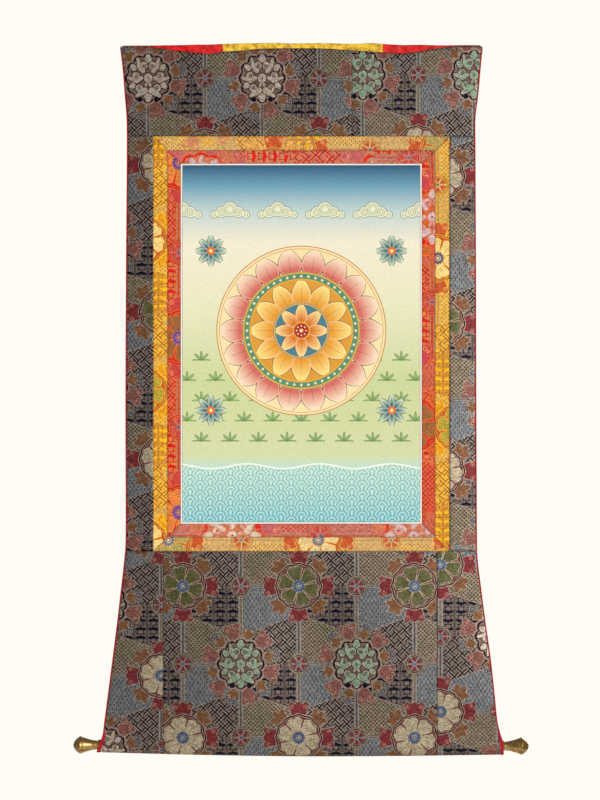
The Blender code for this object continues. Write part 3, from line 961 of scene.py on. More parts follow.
def paint_palmettes(painter, x, y):
    """Crimson palmettes above, below and beside the flower, each with two curls at its crown."""
    wide, high = abs(x), abs(y)
    out, beside = most(wide, high), least(wide, high)
    half = least(multiply_add(out, 0.30, 0.6), multiply_add(out, -1.6, 107.0))
    crown = multiply_add(abs(cosine(beside * (math.pi / PALMETTE_LOBE))), 4.0, 55.6)
    inside = most(beside - half, out - crown)
    painter.fill(inside, 1.5, "outline")
    painter.fill(inside, 0.0, "palmette")
    curl = length_of(out - 51.5, beside - 11.6)
    painter.fill(curl, 3.6, "curl", below(inside, 0.6))
    painter.line(curl, 2.0, 0.8, "palmette")


def paint_corner_leaves(painter, x, y):
    """Ochre leaves of rounded lobes on the flower's diagonals."""
    wide, high = abs(x), abs(y)
    out, beside = (wide + high) * DIAGONAL, abs(wide - high) * DIAGONAL
    inside = outside(painter.tree, vector_of(out, beside), CORNER_LEAF)
    painter.fill(inside, 1.4, "outline")
    painter.fill(inside, 0.0, "leaf")
    vein = length_of(out - 49.0, beside - 5.0)
    painter.line(vein, 5.6, 0.45, "petal line", below(inside, -1.0))


def paint_petals(painter, radius, zigzag, other):
    """Six heart-tipped petals, paler towards their tips, with a fold down the middle of each."""
    petal = painter.fresh("petal")
    petal.paint(other, "other petal")
    petal.paint(multiply_add(radius, 1 / 30, -0.55, clamp=True) * 0.30, "outline")
    beside = radius * (zigzag + sine(radius * 0.18) * 0.03)
    notch = radius * (THIRTY - zigzag)
    tip = multiply_add(sine(multiply_add(notch, 0.24, 0.1)), 2.8, 31.2)
    inside = most(radius - tip, 1.3 - beside)
    painter.fill(inside, 0.7, "edging")
    painter.fill(inside, -0.2, petal.colour)
    painter.paint(below(notch, 0.45) * band(radius, 20.0, 6.0) * 0.5, "petal line")


def paint_flower(painter, x, y, other):
    """Six petals in a scalloped rim. other is 1 where the petals are of the other colour."""
    paint_palmettes(painter, x, y)
    paint_corner_leaves(painter, x, y)
    radius, angle = polar(x, y)
    zigzag, rise = scallops(angle)
    edge = multiply_add(rise, -1.9, radius)
    for reach, colour in FLOWER_RINGS:
        painter.fill(edge, reach, colour)
    paint_petals(painter, radius, zigzag, other)
    painter.fill(radius, 10.9, "outline")
    painter.fill(edge - rise, 7.9, "floret")
    painter.line(radius, 4.4, 0.5, "other petal")
    painter.fill(radius, 2.2, "other petal")


print("flower:", 2 * FLOWER_RINGS[0][0], "mm across")

# %% The medallion and the whole figure
MEDALLION_TALLER = 1.05
MEDALLION_RINGS = [(38.8, "edging"), (37.9, "rim"), (36.9, "edging"), (36.1, "scroll ground")]
FAN_LOBE = 8.6
THREAD_STEPS = (0.40, 0.30)  # the figure changes colour only from one thread to the next
CURLED_LEAVES = [
    Stroke((9.0, 11.8), (15.2, 19.0), 3.0, 3.2),
    Stroke((15.2, 19.0), (18.0, 31.0), 3.2, 1.2),
    Stroke((12.2, 0.2), (19.6, -3.6), 2.6, 3.2),
    Stroke((19.6, -3.6), (34.0, 0.6), 3.2, 1.6),
    Stroke((5.6, -19.6), (12.4, -23.6), 4.2, 4.0),
    Stroke((12.4, -23.6), (20.4, -28.6), 4.0, 1.4),
]
CURLS = [
    Stroke((7.3, 20.0), (7.3, 20.0), 5.5, 5.5),
    Stroke((21.0, 3.8), (21.0, 3.8), 5.2, 5.2),
    Stroke((15.4, -16.2), (15.4, -16.2), 5.3, 5.3),
]
BUDS = [
    Stroke((0.0, 31.2), (0.0, 35.0), 5.8, 3.2),
    Stroke((24.0, 16.6), (27.0, 18.8), 4.2, 3.0),
    Stroke((26.4, -11.4), (29.0, -13.2), 4.2, 2.8),
    Stroke((0.0, -29.4), (0.0, -33.6), 6.2, 3.8),
    Stroke((3.0, -9.6), (4.6, -14.4), 1.5, 0.9),
]
FILLERS = [
    Stroke((14.2, -34.2), (14.2, -34.2), 4.2, 4.2),
    Stroke((23.4, 27.6), (23.4, 27.6), 2.0, 2.0),
]
FAN_LEAF = [
    Stroke((46.5, 0.0), (54.4, 0.0), 5.6, 3.8),
    Stroke((46.5, 2.0), (50.4, 8.2), 4.2, 2.4),
]
FAN_CLOUD = [
    Stroke((62.5, 0.0), (62.5, 0.0), 4.0, 4.0),
    Stroke((60.6, 5.4), (59.4, 8.6), 3.0, 1.6),
]


def paint_fans(painter, radius, angle):
    """Rose fans, ochre leaves and blue cloudlets in turn round the medallion."""
    turn = fold(angle - THIRTY / 2, THIRTY)
    place = vector_of(radius * cosine(turn), radius * sine(turn))
    leaf = outside(painter.tree, place, FAN_LEAF)
    cloud = outside(painter.tree, place, FAN_CLOUD)
    painter.fill(least(leaf, cloud), 1.3, "outline")
    painter.fill(cloud, 0.0, "cloudlet")
    painter.fill(abs(cloud + 2.0), 0.5, "bar")
    painter.paint(above(cloud, -1.0) * below(cloud, 0.0), "roof")
    painter.fill(leaf, 0.0, "leaf")
    back = THIRTY - turn
    out, beside = radius * cosine(back), radius * sine(back)
    half = least(multiply_add(out, 0.36, -7.4), multiply_add(out, -1.1, 84.0))
    crown = multiply_add(abs(cosine(beside * (math.pi / FAN_LOBE))), 3.4, 62.0)
    fan = most(beside - half, out - crown)
    painter.fill(fan, 1.3, "outline")
    painter.fill(fan, 0.0, "fan")
    curl = least(length_of(out - 60.5, beside - 4.6), length_of(out - 56.0, beside - 8.0) + 0.6)
    painter.fill(curl, 2.9, "curl", below(fan, 0.0))
    painter.fill(curl, 1.5, "line")


def paint_curls(painter, x, y, radius, other):
    """Buds and curled leaves, left and right alike, in two layers with a dark outline each."""
    tree = painter.tree
    place = vector_of(abs(x), y)
    painter.fill(outside(tree, place, FILLERS), 0.0, "roof")
    scroll = painter.fresh("scroll")
    scroll.paint(other, "other scroll")
    curls = outside(tree, place, CURLS)
    buds = least(radius - 6.6, outside(tree, place, BUDS))
    leaves = least(curls, outside(tree, place, CURLED_LEAVES))
    for layer in (buds, leaves):
        painter.fill(layer, 2.2, "scroll line")
        shaded = painter.fresh(scroll.colour)
        shaded.paint(above(layer, -0.9, 1.8) * 0.6, "edging")
        painter.fill(layer, 0.8, shaded.colour)
    painter.line(curls, -1.9, 0.65, "scroll line", below(radius, 23.4, 1.0))
    painter.fill(least(radius - 1.6, curls + 3.6), 0.0, "rim")


def paint_medallion(painter, x, y, other):
    """A medallion of twelve scallops filled with curled leaves, with fans round it."""
    y = y * (1 / MEDALLION_TALLER)
    radius, angle = polar(x, y)
    paint_fans(painter, radius, angle)
    _, rise = scallops(angle)
    edge = multiply_add(rise, -4.4, radius)
    for reach, colour in MEDALLION_RINGS:
        painter.fill(edge, reach, colour)
    painter.line(edge, 34.4, 1.8, "roof", above(rise, 0.10, 0.12))
    painter.line(edge, 32.0, 0.4, "edging")
    paint_curls(painter, x, y, radius, other)


def every_other(place, period, shift):
    """1 in every other repeat of this period, and 0 in the ones between."""
    return below(remainder(multiply_add(place, 1 / period, shift), 2.0), 1.0, HARD)


def make_figure():
    """The whole figure, as a group: millimetres of flat cloth and the colours in, a colour out."""
    inputs = [("Place", "Vector", None)]
    inputs += [(motif.capitalize(), "Color", colour) for motif, colour in DARK_WEAVE.items()]
    tree, given, result = new_group("Brocade figure", inputs, [("Color", "Color")])
    palette = {motif: given.outputs[motif.capitalize()] for motif in DARK_WEAVE}
    u, v = split(tree, given.outputs["Place"])
    u, v = calculate("SNAP", u, THREAD_STEPS[0]), calculate("SNAP", v, THREAD_STEPS[1])
    ax, ay = wrap(u, ACROSS), wrap(v, DOWN)
    bx, by = wrap(u + ACROSS / 2, ACROSS), wrap(v + (DOWN / 2 + ROW_DROP), DOWN)
    painter = Painter(tree, "ground", palette)
    rosette = paint_grounds(painter, ax, ay, bx, by)
    paint_rosette(painter, *rosette)
    paint_medallion(painter, bx, by, every_other(v, DOWN, 0.0))
    paint_flower(painter, ax, ay, 1.0 - every_other(v, DOWN, 0.5))
    tree.links.new(painter.colour, result.inputs["Color"])
    print("nodes in the figure:", len(tree.nodes))
    return tree


figure = make_figure()

# %% [markdown]
# ## Threads and cloth materials
#
# Seen close, all this cloth is threads, so one group gives a plain weave: which thread is on top, how
# high it stands and how much light it takes. Brocade has coarse threads and a dull gleam, canvas is
# fine and matte, and satin has long smooth threads. The gleam is set on the shader's own sockets.

# %% The weave and the materials
MM = 1000.0  # millimetres in a metre
BROCADE_THREADS = (0.45, 0.60)  # millimetres across the warp and the weft
FLOAT_WIDE = 2.8  # millimetres of a thread that lie on the face before it dives under
FLOAT_TALL = 1.9
SLUBS = 0.24  # how far the threads' slow thick and thin changes their lightness
SLUB_SCALE = 0.30
# Painted shade: how much darker the colour is in a seam's groove.
SEAM_PAINTED_SHADE = 0.45
RELIEF = 0.0002  # metres that threads, grain or tool marks stand up
CROWN_GLEAMS = 0.12  # how much smoother a thread is on its crown than beside it
MUTED = 0.55  # how far the wrong side's figure is drawn back to its ground
MUTED_FLOATS = (2.6, 0.12)  # the long floats across the wrong side: their rate and their depth
# A pale tone mixed into the level strips as painted sheen, how much of it, and the motifs it spares.
PAINTED_SHEEN_TONE = tone(166, 160, 158)
PAINTED_SHEEN_SHARE = 0.21
SPARED_BY_SHEEN = {"line", "roof", "rim", "palmette", "petal line"}
CALM_FROM = 38.0  # millimetres from the satin's sewn end to where it hangs calm
CALM_SOFT = 14.0
SATIN = {"warp": 0.16, "weft": 0.9, "bump": 0.12, "patch": 9.0, "calm": 0.8}


def noise_texture(tree, place, scale, detail):
    texture = add_node(tree, "TexNoise")
    texture.inputs["Scale"].default_value = scale
    texture.inputs["Detail"].default_value = detail
    tree.links.new(place, texture.inputs["Vector"])
    return Field(tree, texture.outputs[0])


def give_relief(tree, shader, height, strength):
    relief = add_node(tree, "Bump")
    relief.inputs["Strength"].default_value = strength
    relief.inputs["Distance"].default_value = RELIEF
    plug(tree, height, relief.inputs["Height"])
    tree.links.new(relief.outputs["Normal"], shader.inputs["Normal"])


def make_threads():
    """A plain weave. Height: the threads' relief. Shade: how light each thread is, with slubs, and
    painted shade in the seams.
    """
    inputs = [("Place", "Vector", None), ("Warp", "Float", 0.45), ("Weft", "Float", 0.60)]
    inputs += [("Fleck", "Float", 0.3), ("Seam", "Float", 0.0)]
    tree, given, result = new_group("Woven threads", inputs, [("Height", "Float"), ("Shade", "Float")])
    u, v = split(tree, given.outputs["Place"])
    across = u / Field(tree, given.outputs["Warp"])
    up = v / Field(tree, given.outputs["Weft"])
    over = remainder(floor_of(across) + floor_of(up), 2.0)
    height = choose(abs(sine(across * math.pi)), abs(sine(up * math.pi)), over)
    plug(tree, height, result.inputs["Height"])
    slub = noise_texture(tree, given.outputs["Place"], SLUB_SCALE, 3.0)
    floats = add_node(tree, "TexWhiteNoise", noise_dimensions="2D")
    cell = vector_of(floor_of(u * (1 / FLOAT_WIDE)), floor_of(v * (1 / FLOAT_TALL)))
    tree.links.new(cell, floats.inputs["Vector"])
    fleck = (Field(tree, floats.outputs["Value"]) - 0.5) * Field(tree, given.outputs["Fleck"])
    shade = multiply_add(slub, SLUBS, 1 - SLUBS / 2) + fleck
    # Painted shade: the colour darkens in the seams, where the edges roll under.
    shade = shade * multiply_add(Field(tree, given.outputs["Seam"]), -SEAM_PAINTED_SHADE, 1.0)
    plug(tree, shade, result.inputs["Shade"])
    return tree


threads = make_threads()


class Cloth:
    """A cloth material: its place in flat millimetres, its threads, and its shader."""

    def __init__(self, name, warp, weft, fleck):
        self.material, self.tree, self.shader = new_material(name)
        flat = add_node(self.tree, "UVMap", uv_map="flat")
        millimetres = vector_math(self.tree, "SCALE", flat.outputs["UV"])
        millimetres.inputs["Scale"].default_value = MM
        self.place = millimetres.outputs["Vector"]
        self.weave = self.add_group(threads, {"Warp": warp, "Weft": weft, "Fleck": fleck})
        # The seam attribute darkens the colour at the seams, as painted shade.
        seam = add_node(self.tree, "Attribute", attribute_name="seam")
        self.tree.links.new(seam.outputs["Fac"], self.weave.inputs["Seam"])

    def add_group(self, group, values):
        node = add_node(self.tree, "Group", node_tree=group)
        for name, value in values.items():
            node.inputs[name].default_value = value
        self.tree.links.new(self.place, node.inputs["Place"])
        return node

    def finish(self, colour, bump, roughness, specular, metallic=0.0):
        """The colour shaded by its threads, and the threads' relief."""
        shaded = mix_colours(self.tree, 1.0, colour, self.weave.outputs["Shade"], "MULTIPLY")
        self.tree.links.new(shaded, self.shader.inputs["Base Color"])
        height = Field(self.tree, self.weave.outputs["Height"])
        give_relief(self.tree, self.shader, height, bump)
        rough = multiply_add(height, -CROWN_GLEAMS, roughness + CROWN_GLEAMS / 2)
        plug(self.tree, rough, self.shader.inputs["Roughness"])
        self.shader.inputs["Specular IOR Level"].default_value = specular
        self.shader.inputs["Metallic"].default_value = metallic
        return self.material


def brocade_material(name, weave, roughness, specular, fleck, muted=0.0, metallic=0.0):
    """The figure in one weave's colours. muted draws it back to the ground, as on the wrong side.

    metallic gives threads that gleam in their own colour, so the black ones stay black.
    """
    cloth = Cloth(name, *BROCADE_THREADS, fleck)
    drawn = cloth.add_group(figure, {motif.capitalize(): colour for motif, colour in weave.items()})
    painter = Painter(cloth.tree, drawn.outputs["Color"])
    if muted:
        rate, depth = MUTED_FLOATS
        floats = sine(split(cloth.tree, cloth.place)[1] * rate)
        painter.paint(multiply_add(floats, depth, muted), weave["ground"])
    return cloth.finish(painter.colour, 0.15, roughness, specular, metallic)


def plain_material(
    name, colour, darker, roughness, warp=0.30, weft=0.30, bump=0.3, specular=0.2, patch=22.0, calm=0.0
):
    """Cloth of one colour, a little darker in patches about this many millimetres across. On the satin
    these patches are painted shade of its folds; on the binding and the canvas they are an uneven tone.

    calm draws the patches back by that share further down the cut, away from the fold.
    """
    cloth = Cloth(name, warp, weft, 0.08)
    patches = noise_texture(cloth.tree, cloth.place, 1 / patch, 4.0)
    painter = Painter(cloth.tree, colour)
    down = split(cloth.tree, cloth.place)[1]
    strength = multiply_add(above(down, CALM_FROM, CALM_SOFT), -calm, 1.0)
    # The darker patches: painted shade of the folds on the satin, an uneven tone elsewhere.
    painter.paint(above(patches, 0.56, 0.30) * strength, darker)
    return cloth.finish(painter.colour, bump, roughness, specular)


def with_painted_sheen(weave):
    """The weave of the level strips, cut across the cloth: all but the darkest motifs made paler as
    painted sheen.
    """
    level = dict(weave)
    for label in weave.keys() - SPARED_BY_SHEEN:
        level[label] = tuple(mix(part, pale, PAINTED_SHEEN_SHARE) for part, pale in zip(weave[label], PAINTED_SHEEN_TONE))
    return level


dark_brocade = brocade_material("dark brocade", DARK_WEAVE, 0.46, 0.25, 0.78, metallic=0.6)
dark_reverse = brocade_material("dark brocade reverse", DARK_WEAVE, 0.75, 0.3, 0.40, MUTED, 0.3)
gold_brocade = brocade_material("gold brocade", GOLD_WEAVE, 0.62, 0.2, 0.50)
gold_reverse = brocade_material("gold brocade reverse", GOLD_WEAVE, 0.75, 0.2, 0.20, MUTED)
red_brocade = brocade_material("red brocade", RED_WEAVE, 0.62, 0.2, 0.50)
red_reverse = brocade_material("red brocade reverse", RED_WEAVE, 0.75, 0.2, 0.20, MUTED)
# The level strips are a paler copy of the brocade, with painted sheen.
gold_level = brocade_material("gold brocade level", with_painted_sheen(GOLD_WEAVE), 0.62, 0.2, 0.50)
red_level = brocade_material("red brocade level", with_painted_sheen(RED_WEAVE), 0.62, 0.2, 0.50)
red_cloth = plain_material("red binding", tone(186, 24, 36), tone(140, 16, 28), 0.60)
# The satin's darker patches are painted shade of its folds, fewer further down the cut.
silks = {
    "red": plain_material(
        "red satin", tone(236, 36, 36), tone(150, 10, 14), 0.40, specular=0.35, **SATIN
    ),
    "yellow": plain_material(
        "yellow satin", tone(254, 214, 66), tone(180, 124, 18), 0.36, specular=0.45, **SATIN
    ),
}
print("cloth materials:", len(bpy.data.materials))

# %% [markdown]
# ## The dark brocade panels
#
# The upper panel is sewn from two lengths, and the figure doesn't meet at the seam. The side strips
# and the gores show other parts of it again. Each cut's place in the figure is read from the
# photograph as the place of one flower or medallion, in millimetres of the hanging's own frame.

# %% Where each cut lies in the figure
# x, z: a place with that motif. column, row: the motif's place in the repeat. wide, tall: the cloth's
# stretch, as the measured pitch of the motifs against the nominal one. turn: how the cut lies, in
# quarter turns to the left.
Cut = namedtuple("Cut", "x z column row wide tall turn")
# A strip that is pieced from two lengths changes from one cut to the next at an x or a z.
Joined = namedtuple("Joined", "axis limit before after")
CUTS = {
    "top_left": Cut(-66.0, -59.4, 0.5, 1.5, 0.98, 1.0, 0),
    "top_right": Cut(103.0, -54.0, 0.5, 0.5, 0.957, 1.0, 0),
    "side_left": Cut(-234.0, -205.0, 0.0, 1.0, 1.0, 0.974, 0),
    "side_right": Cut(236.0, -224.0, 0.0, 1.0, 1.0, 0.976, 0),
    "skirt_left": Cut(-235.5, -1063.6, 0.0, 1.0, 1.0, 0.961, 0),
    "skirt_centre": Cut(-4.6, -913.5, 0.0, 0.0, 0.995, 1.0, 0),
    "skirt_right": Cut(233.8, -877.0, 0.0, 0.0, 1.0, 0.971, 2),
    "gold_top": Joined(
        "x",
        16.0,
        Cut(-46.1, -215.0, 0.0, 1.0, 1.0, 1.0, 1),
        Cut(239.2, -178.5, 0.0, 0.0, 1.0, 1.0, 1),
    ),
    "gold_bottom": Cut(-223.7, -835.5, 0.0, 0.0, 1.0, 0.993, -1),
    "gold_left": Cut(-264.0, -331.3, 0.0, 1.0, 1.0, 1.0, 2),
    "gold_right": Joined(
        "z",
        -478.0,
        Cut(262.0, -646.7, 0.0, 0.0, 1.0, 1.0, 0),
        Cut(229.5, -362.0, 0.0, 1.0, 1.0, 1.0, 0),
    ),
    "red_top": Joined(
        "x",
        120.9,
        Cut(-168.3, -228.6, 0.5, 0.5, 1.1, 1.2, -1),
        Cut(180.4, -192.3, 0.5, 0.0, 1.1, 1.2, -1),
    ),
    "red_bottom": Cut(-116.0, -828.0, 0.5, 1.5, 1.1, 1.2, 1),
    "red_left": Cut(-206.7, -495.4, 0.0, 0.0, 1.0, 1.157, 0),
    "red_right": Joined(
        "z",
        -541.0,
        Cut(189.5, -641.9, 0.0, 0.0, 1.1, 1.157, 0),
        Cut(219.7, -292.8, 0.5, 0.5, 1.1, 1.157, 0),
    ),
}


def place_in_figure(cut, across, down):
    """The place in the figure, in metres, of a place in the flat cut."""
    x, z = across * MM - cut.x, down * MM - cut.z
    for _ in range(cut.turn % 4):
        x, z = z, -x
    drop = ROW_DROP if cut.row % 1 else 0.0
    return (x / cut.wide + cut.column * ACROSS) / MM, (z / cut.tall - cut.row * DOWN - drop) / MM


def pattern_of(name):
    """A function of a face's middle and a corner, both in the flat cut, to the corner in the figure."""
    cut = CUTS[name]

    def place(middle, across, down):
        if isinstance(cut, Cut):
            return place_in_figure(cut, across, down)
        value = middle[0] if cut.axis == "x" else middle[1]
        return place_in_figure(cut.before if value * MM < cut.limit else cut.after, across, down)

    return place


print("cuts:", len(CUTS), "pieced strips:", sum(isinstance(cut, Joined) for cut in CUTS.values()))

# %% The upper panel and the side strips
HALF_GAP = MEET / 2
SETTLING = 14  # rounds after which a row's outer end no longer moves


def flat_spot(x, z, *distances):
    seam = near_seam(*distances) if distances else 0.0
    return Spot(x, hang(x, z) + SEAM_ROLL * seam, z, x, z, seam)


def sew_dark(piece, cut, grid):
    """A panel of the dark brocade, whose node is named for its cut."""
    sheet = make_sheet(piece, grid, CLOTH / 2, dark_brocade, dark_reverse, pattern_of(cut))
    declare(sheet, f"brocade_{cut}", grid)


def outer_end(side, bottom, share):
    """The X where a row of the upper panel meets the outline, rounded top corner and all."""
    x = cloth_edge(side, bottom)
    for _ in range(SETTLING):
        x = (x + cloth_edge(side, mix(brocade_top(x), bottom, share))) / 2
    return x


def make_top_panel(side):
    bottom = FRAME_TOP + HALF_GAP
    seam = TOP_SEAM_X - HALF_GAP if side == "left" else TOP_SEAM_X + HALF_GAP
    parts = seamed(seam, cloth_edge(side, bottom))
    grid = []
    for share in seamed(0.0, abs(FRAME_TOP)):
        start, end = sorted((outer_end(side, bottom, share), seam))
        row = []
        for part in parts:
            x = mix(start, end, part)
            top = brocade_top(x)
            z = mix(top, bottom, share)
            row.append(flat_spot(x, z, x - start, end - x, top - z, z - bottom))
        grid.append(row)
    sew_dark(f"upper_panel_{side}", f"top_{side}", grid)


def side_heights():
    top, bottom = FRAME_TOP - HALF_GAP, FRAME_BOTTOM + HALF_GAP
    return [mix(top, bottom, share) for share in seamed(top, bottom)]


def make_side_strip(side):
    top, bottom = FRAME_TOP - HALF_GAP, FRAME_BOTTOM + HALF_GAP
    seam = -FRAME_HALF - HALF_GAP if side == "left" else FRAME_HALF + HALF_GAP
    parts = seamed(seam, cloth_edge(side, top))
    grid = []
    for z in side_heights():
        start, end = sorted((cloth_edge(side, z), seam))
        places = [mix(start, end, part) for part in parts]
        grid.append([flat_spot(x, z, x - start, end - x, top - z, z - bottom) for x in places])
    sew_dark(f"side_strip_{side}", f"side_{side}", grid)


for side in ("left", "right"):
    make_top_panel(side)
for side in ("left", "right"):
    make_side_strip(side)

# %% [markdown]
# ## The skirt and its pocket
#
# The skirt is a centre panel with a gore on each side. The cloth runs down the front, round under the
# rod with a little slack, and up behind to a stitch line. A spot's place in the flat cut is its length
# along that path, so the figure doesn't stretch round the rod.

# %% The skirt
ARC_STEPS = 26
RISE_STEPS = 6
TAIL_STEPS = 3


def skirt_rows():
    """The rows of the skirt, each as a stretch of the path and how far along it."""
    top = FRAME_BOTTOM - HALF_GAP
    rows = [("front", share) for share in seamed(top, ROD_HEIGHT)]
    rows += [("round", i / ARC_STEPS) for i in range(1, ARC_STEPS + 1)]
    rows += [("rise", i / RISE_STEPS) for i in range(1, RISE_STEPS + 1)]
    return rows + [("tail", i / TAIL_STEPS) for i in range(1, TAIL_STEPS + 1)]


def skirt_place(x, stretch, share):
    """The (y, z) of the skirt's middle surface at x."""
    axis_z = ROD_HEIGHT + ROD_TILT * x
    if stretch == "front":
        z = mix(FRAME_BOTTOM - HALF_GAP, axis_z, share)
        return hang(x, z), z
    stitch_z = axis_z + POCKET_STITCH
    if stretch == "tail":
        z = stitch_z + POCKET_TAIL * share
        return hang(x, z) + CLOTH + SEAM, z
    stitch_y = hang(x, stitch_z) + CLOTH + SEAM
    across, up = stitch_y - ROD_DEPTH, stitch_z - axis_z
    leaves = math.atan2(up, across) - math.acos(SLEEVE_RADIUS / math.hypot(across, up))
    angle = mix(math.pi, 2 * math.pi + leaves, share if stretch == "round" else 1.0)
    tall = SLEEVE_RADIUS + (pocket_drop(x) if math.sin(angle) < 0 else 0.0)
    y = ROD_DEPTH + SLEEVE_RADIUS * math.cos(angle)
    z = axis_z + tall * math.sin(angle)
    if stretch == "round":
        return y, z
    return mix(y, stitch_y, share), mix(z, stitch_z, share)


def make_skirt_panel(name, start_at, end_at):
    """start_at and end_at give the panel's left and right X at a height."""
    nominal = (start_at(ROD_HEIGHT) + end_at(ROD_HEIGHT)) / 2
    shares = seamed(start_at(ROD_HEIGHT), end_at(ROD_HEIGHT))
    grid = []
    lengths = [FRAME_BOTTOM] * len(shares)
    previous = None
    for stretch, along in skirt_rows():
        _, height = skirt_place(nominal, stretch, along)
        start, end = start_at(height), end_at(height)
        row = []
        for i, share in enumerate(shares):
            x = mix(start, end, share)
            y, z = skirt_place(x, stretch, along)
            if previous:
                lengths[i] -= math.hypot(y - previous[i].y, z - previous[i].z)
            edges = [x - start, end - x]
            if stretch == "front":
                edges.append(FRAME_BOTTOM - z)
            seam = near_seam(*edges)
            rolled = y + SEAM_ROLL * seam if stretch == "front" else y
            row.append(Spot(x, rolled, z, x, lengths[i], seam))
        previous = row
        grid.append(row)
    sew_dark(f"skirt_panel_{name}", f"skirt_{name}", grid)


make_skirt_panel("left", lambda z: cloth_edge("left", z), lambda z: SKIRT_SEAM_LEFT - HALF_GAP)
make_skirt_panel("centre", lambda z: SKIRT_SEAM_LEFT + HALF_GAP, lambda z: SKIRT_SEAM_RIGHT - HALF_GAP)
make_skirt_panel("right", lambda z: SKIRT_SEAM_RIGHT + HALF_GAP, lambda z: cloth_edge("right", z))

# %% [markdown]
# ## The gold and red borders
#
# Each border is four strips with mitred corners. The upright strips are cut along the cloth. The level
# ones are cut across it, so their figure lies on its side.

# %% Borders
MITRE_GAP = MEET * 0.7
# inside: how far within the outer border's outline. upright, level: the cloth of those strips.
Border = namedtuple("Border", "colour inside width upright level back")
BORDERS = [
    Border("gold", 0.0, GOLD_STRIP, gold_brocade, gold_level, gold_reverse),
    Border("red", GOLD_STRIP, RED_STRIP, red_brocade, red_level, red_reverse),
]


def level_strip(border, side):
    """The grid of a top or bottom strip."""
    half = FRAME_HALF - border.inside
    start = FRAME_TOP - border.inside if side == "top" else FRAME_BOTTOM + border.inside
    inward = -1 if side == "top" else 1
    grid = []
    for share in seamed(0.0, border.width):
        inset = mix(HALF_GAP, border.width - HALF_GAP, share)
        reach = half - inset - MITRE_GAP
        z = start + inward * inset
        places = [mix(-reach, reach, part) for part in seamed(-half, half)]
        grid.append(
            [flat_spot(x, z, inset, border.width - inset, (reach - abs(x)) * DIAGONAL) for x in places]
        )
    return grid if side == "top" else grid[::-1]


def upright_strip(border, side):
    """The grid of a left or right strip."""
    half = FRAME_HALF - border.inside
    start, end = FRAME_TOP - border.inside, FRAME_BOTTOM + border.inside
    sign = -1 if side == "left" else 1
    grid = []
    for share in seamed(start, end):
        row = []
        for part in seamed(0.0, border.width):
            inset = mix(HALF_GAP, border.width - HALF_GAP, part)
            top, bottom = start - inset - MITRE_GAP, end + inset + MITRE_GAP
            z = mix(top, bottom, share)
            corner = min(top - z, z - bottom) * DIAGONAL
            row.append(flat_spot(sign * (half - inset), z, inset, border.width - inset, corner))
        grid.append(row if side == "left" else row[::-1])
    return grid


def make_strip(border, side):
    level = side in ("top", "bottom")
    grid = level_strip(border, side) if level else upright_strip(border, side)
    front = border.level if level else border.upright
    pattern = pattern_of(f"{border.colour}_{side}")
    strip = make_sheet(f"{border.colour}_strip_{side}", grid, CLOTH / 2, front, border.back, pattern)
    holder = "upper_panel_left" if border.colour == "gold" else f"gold_strip_{side}"
    declare(strip, f"{border.colour}_border_{side}", grid)


for border in BORDERS:
    for side in ("top", "bottom", "left", "right"):
        make_strip(border, side)

# %% [markdown]
# ## The painted canvas
#
# The canvas carries a plain ornament of this part's own: a lotus roundel over a ground that runs from
# deep blue through cream and pale green to water in scales. Petals shade from a strong colour at the
# root to a pale tip inside a fine dark outline, as mineral paint is laid on such cloth. An unpainted
# margin of canvas shows round it.

# %% The roundel picture
PICTURE_HALF = (PAINTING_WIDTH * MM / 2, PAINTING_HEIGHT * MM / 2)
ROUNDEL_RADIUS = 142.0
ROUNDEL_HEIGHT = 22.0
SHORE = -206.0
SCALE = 17.0
SPRIG_ROW = 34.0
SPRIG_PITCH = 48.0
CLOUD_PITCH = 80.0
CLOUD_HEIGHT = 226.0
CORNERS = (152.0, 134.0)  # how far the corner flowers stand from the roundel's middle
PETAL_SWELL = (math.pi * 0.72, 0.62)  # a petal is widest where this much of a half turn has passed
PAINTS = {
    "ink": (58, 62, 70),
    "cream": (240, 232, 206),
    "foam": (222, 242, 234),
    "deep water": (52, 126, 148),
    "shore": (246, 248, 240),
    "sprig edge": (86, 122, 78),
    "sprig": (150, 184, 112),
    "cloud edge": (70, 108, 112),
    "cloud": (238, 236, 208),
    "cloud fold": (150, 176, 116),
    "cloud heart": (104, 144, 128),
    "halo": (248, 228, 176),
    "rust": (196, 120, 62),
    "rose": (216, 112, 100),
    "rose tip": (252, 230, 200),
    "jade": (92, 146, 118),
    "gilt": (232, 176, 62),
    "pearl": (240, 226, 182),
    "ochre": (224, 158, 62),
    "amber": (234, 160, 54),
    "amber tip": (254, 228, 140),
    "slate": (76, 132, 150),
    "orange": (224, 128, 46),
    "orange tip": (252, 222, 150),
    "crimson": (176, 50, 56),
    "straw": (250, 226, 150),
    "teal": (58, 118, 128),
    "teal tip": (206, 226, 196),
    "coral": (226, 116, 66),
    "bare": (240, 235, 226),
}
# From the bottom of the picture to its top.
GROUND_STOPS = [
    (0.00, (128, 198, 206)),
    (0.15, (190, 226, 212)),
    (0.19, (214, 220, 172)),
    (0.40, (206, 216, 160)),
    (0.60, (232, 232, 196)),
    (0.78, (244, 236, 214)),
    (0.87, (196, 216, 214)),
    (0.94, (114, 166, 190)),
    (1.00, (46, 90, 126)),
]
print("paints:", len(PAINTS), "roundel:", 2 * ROUNDEL_RADIUS, "mm across")


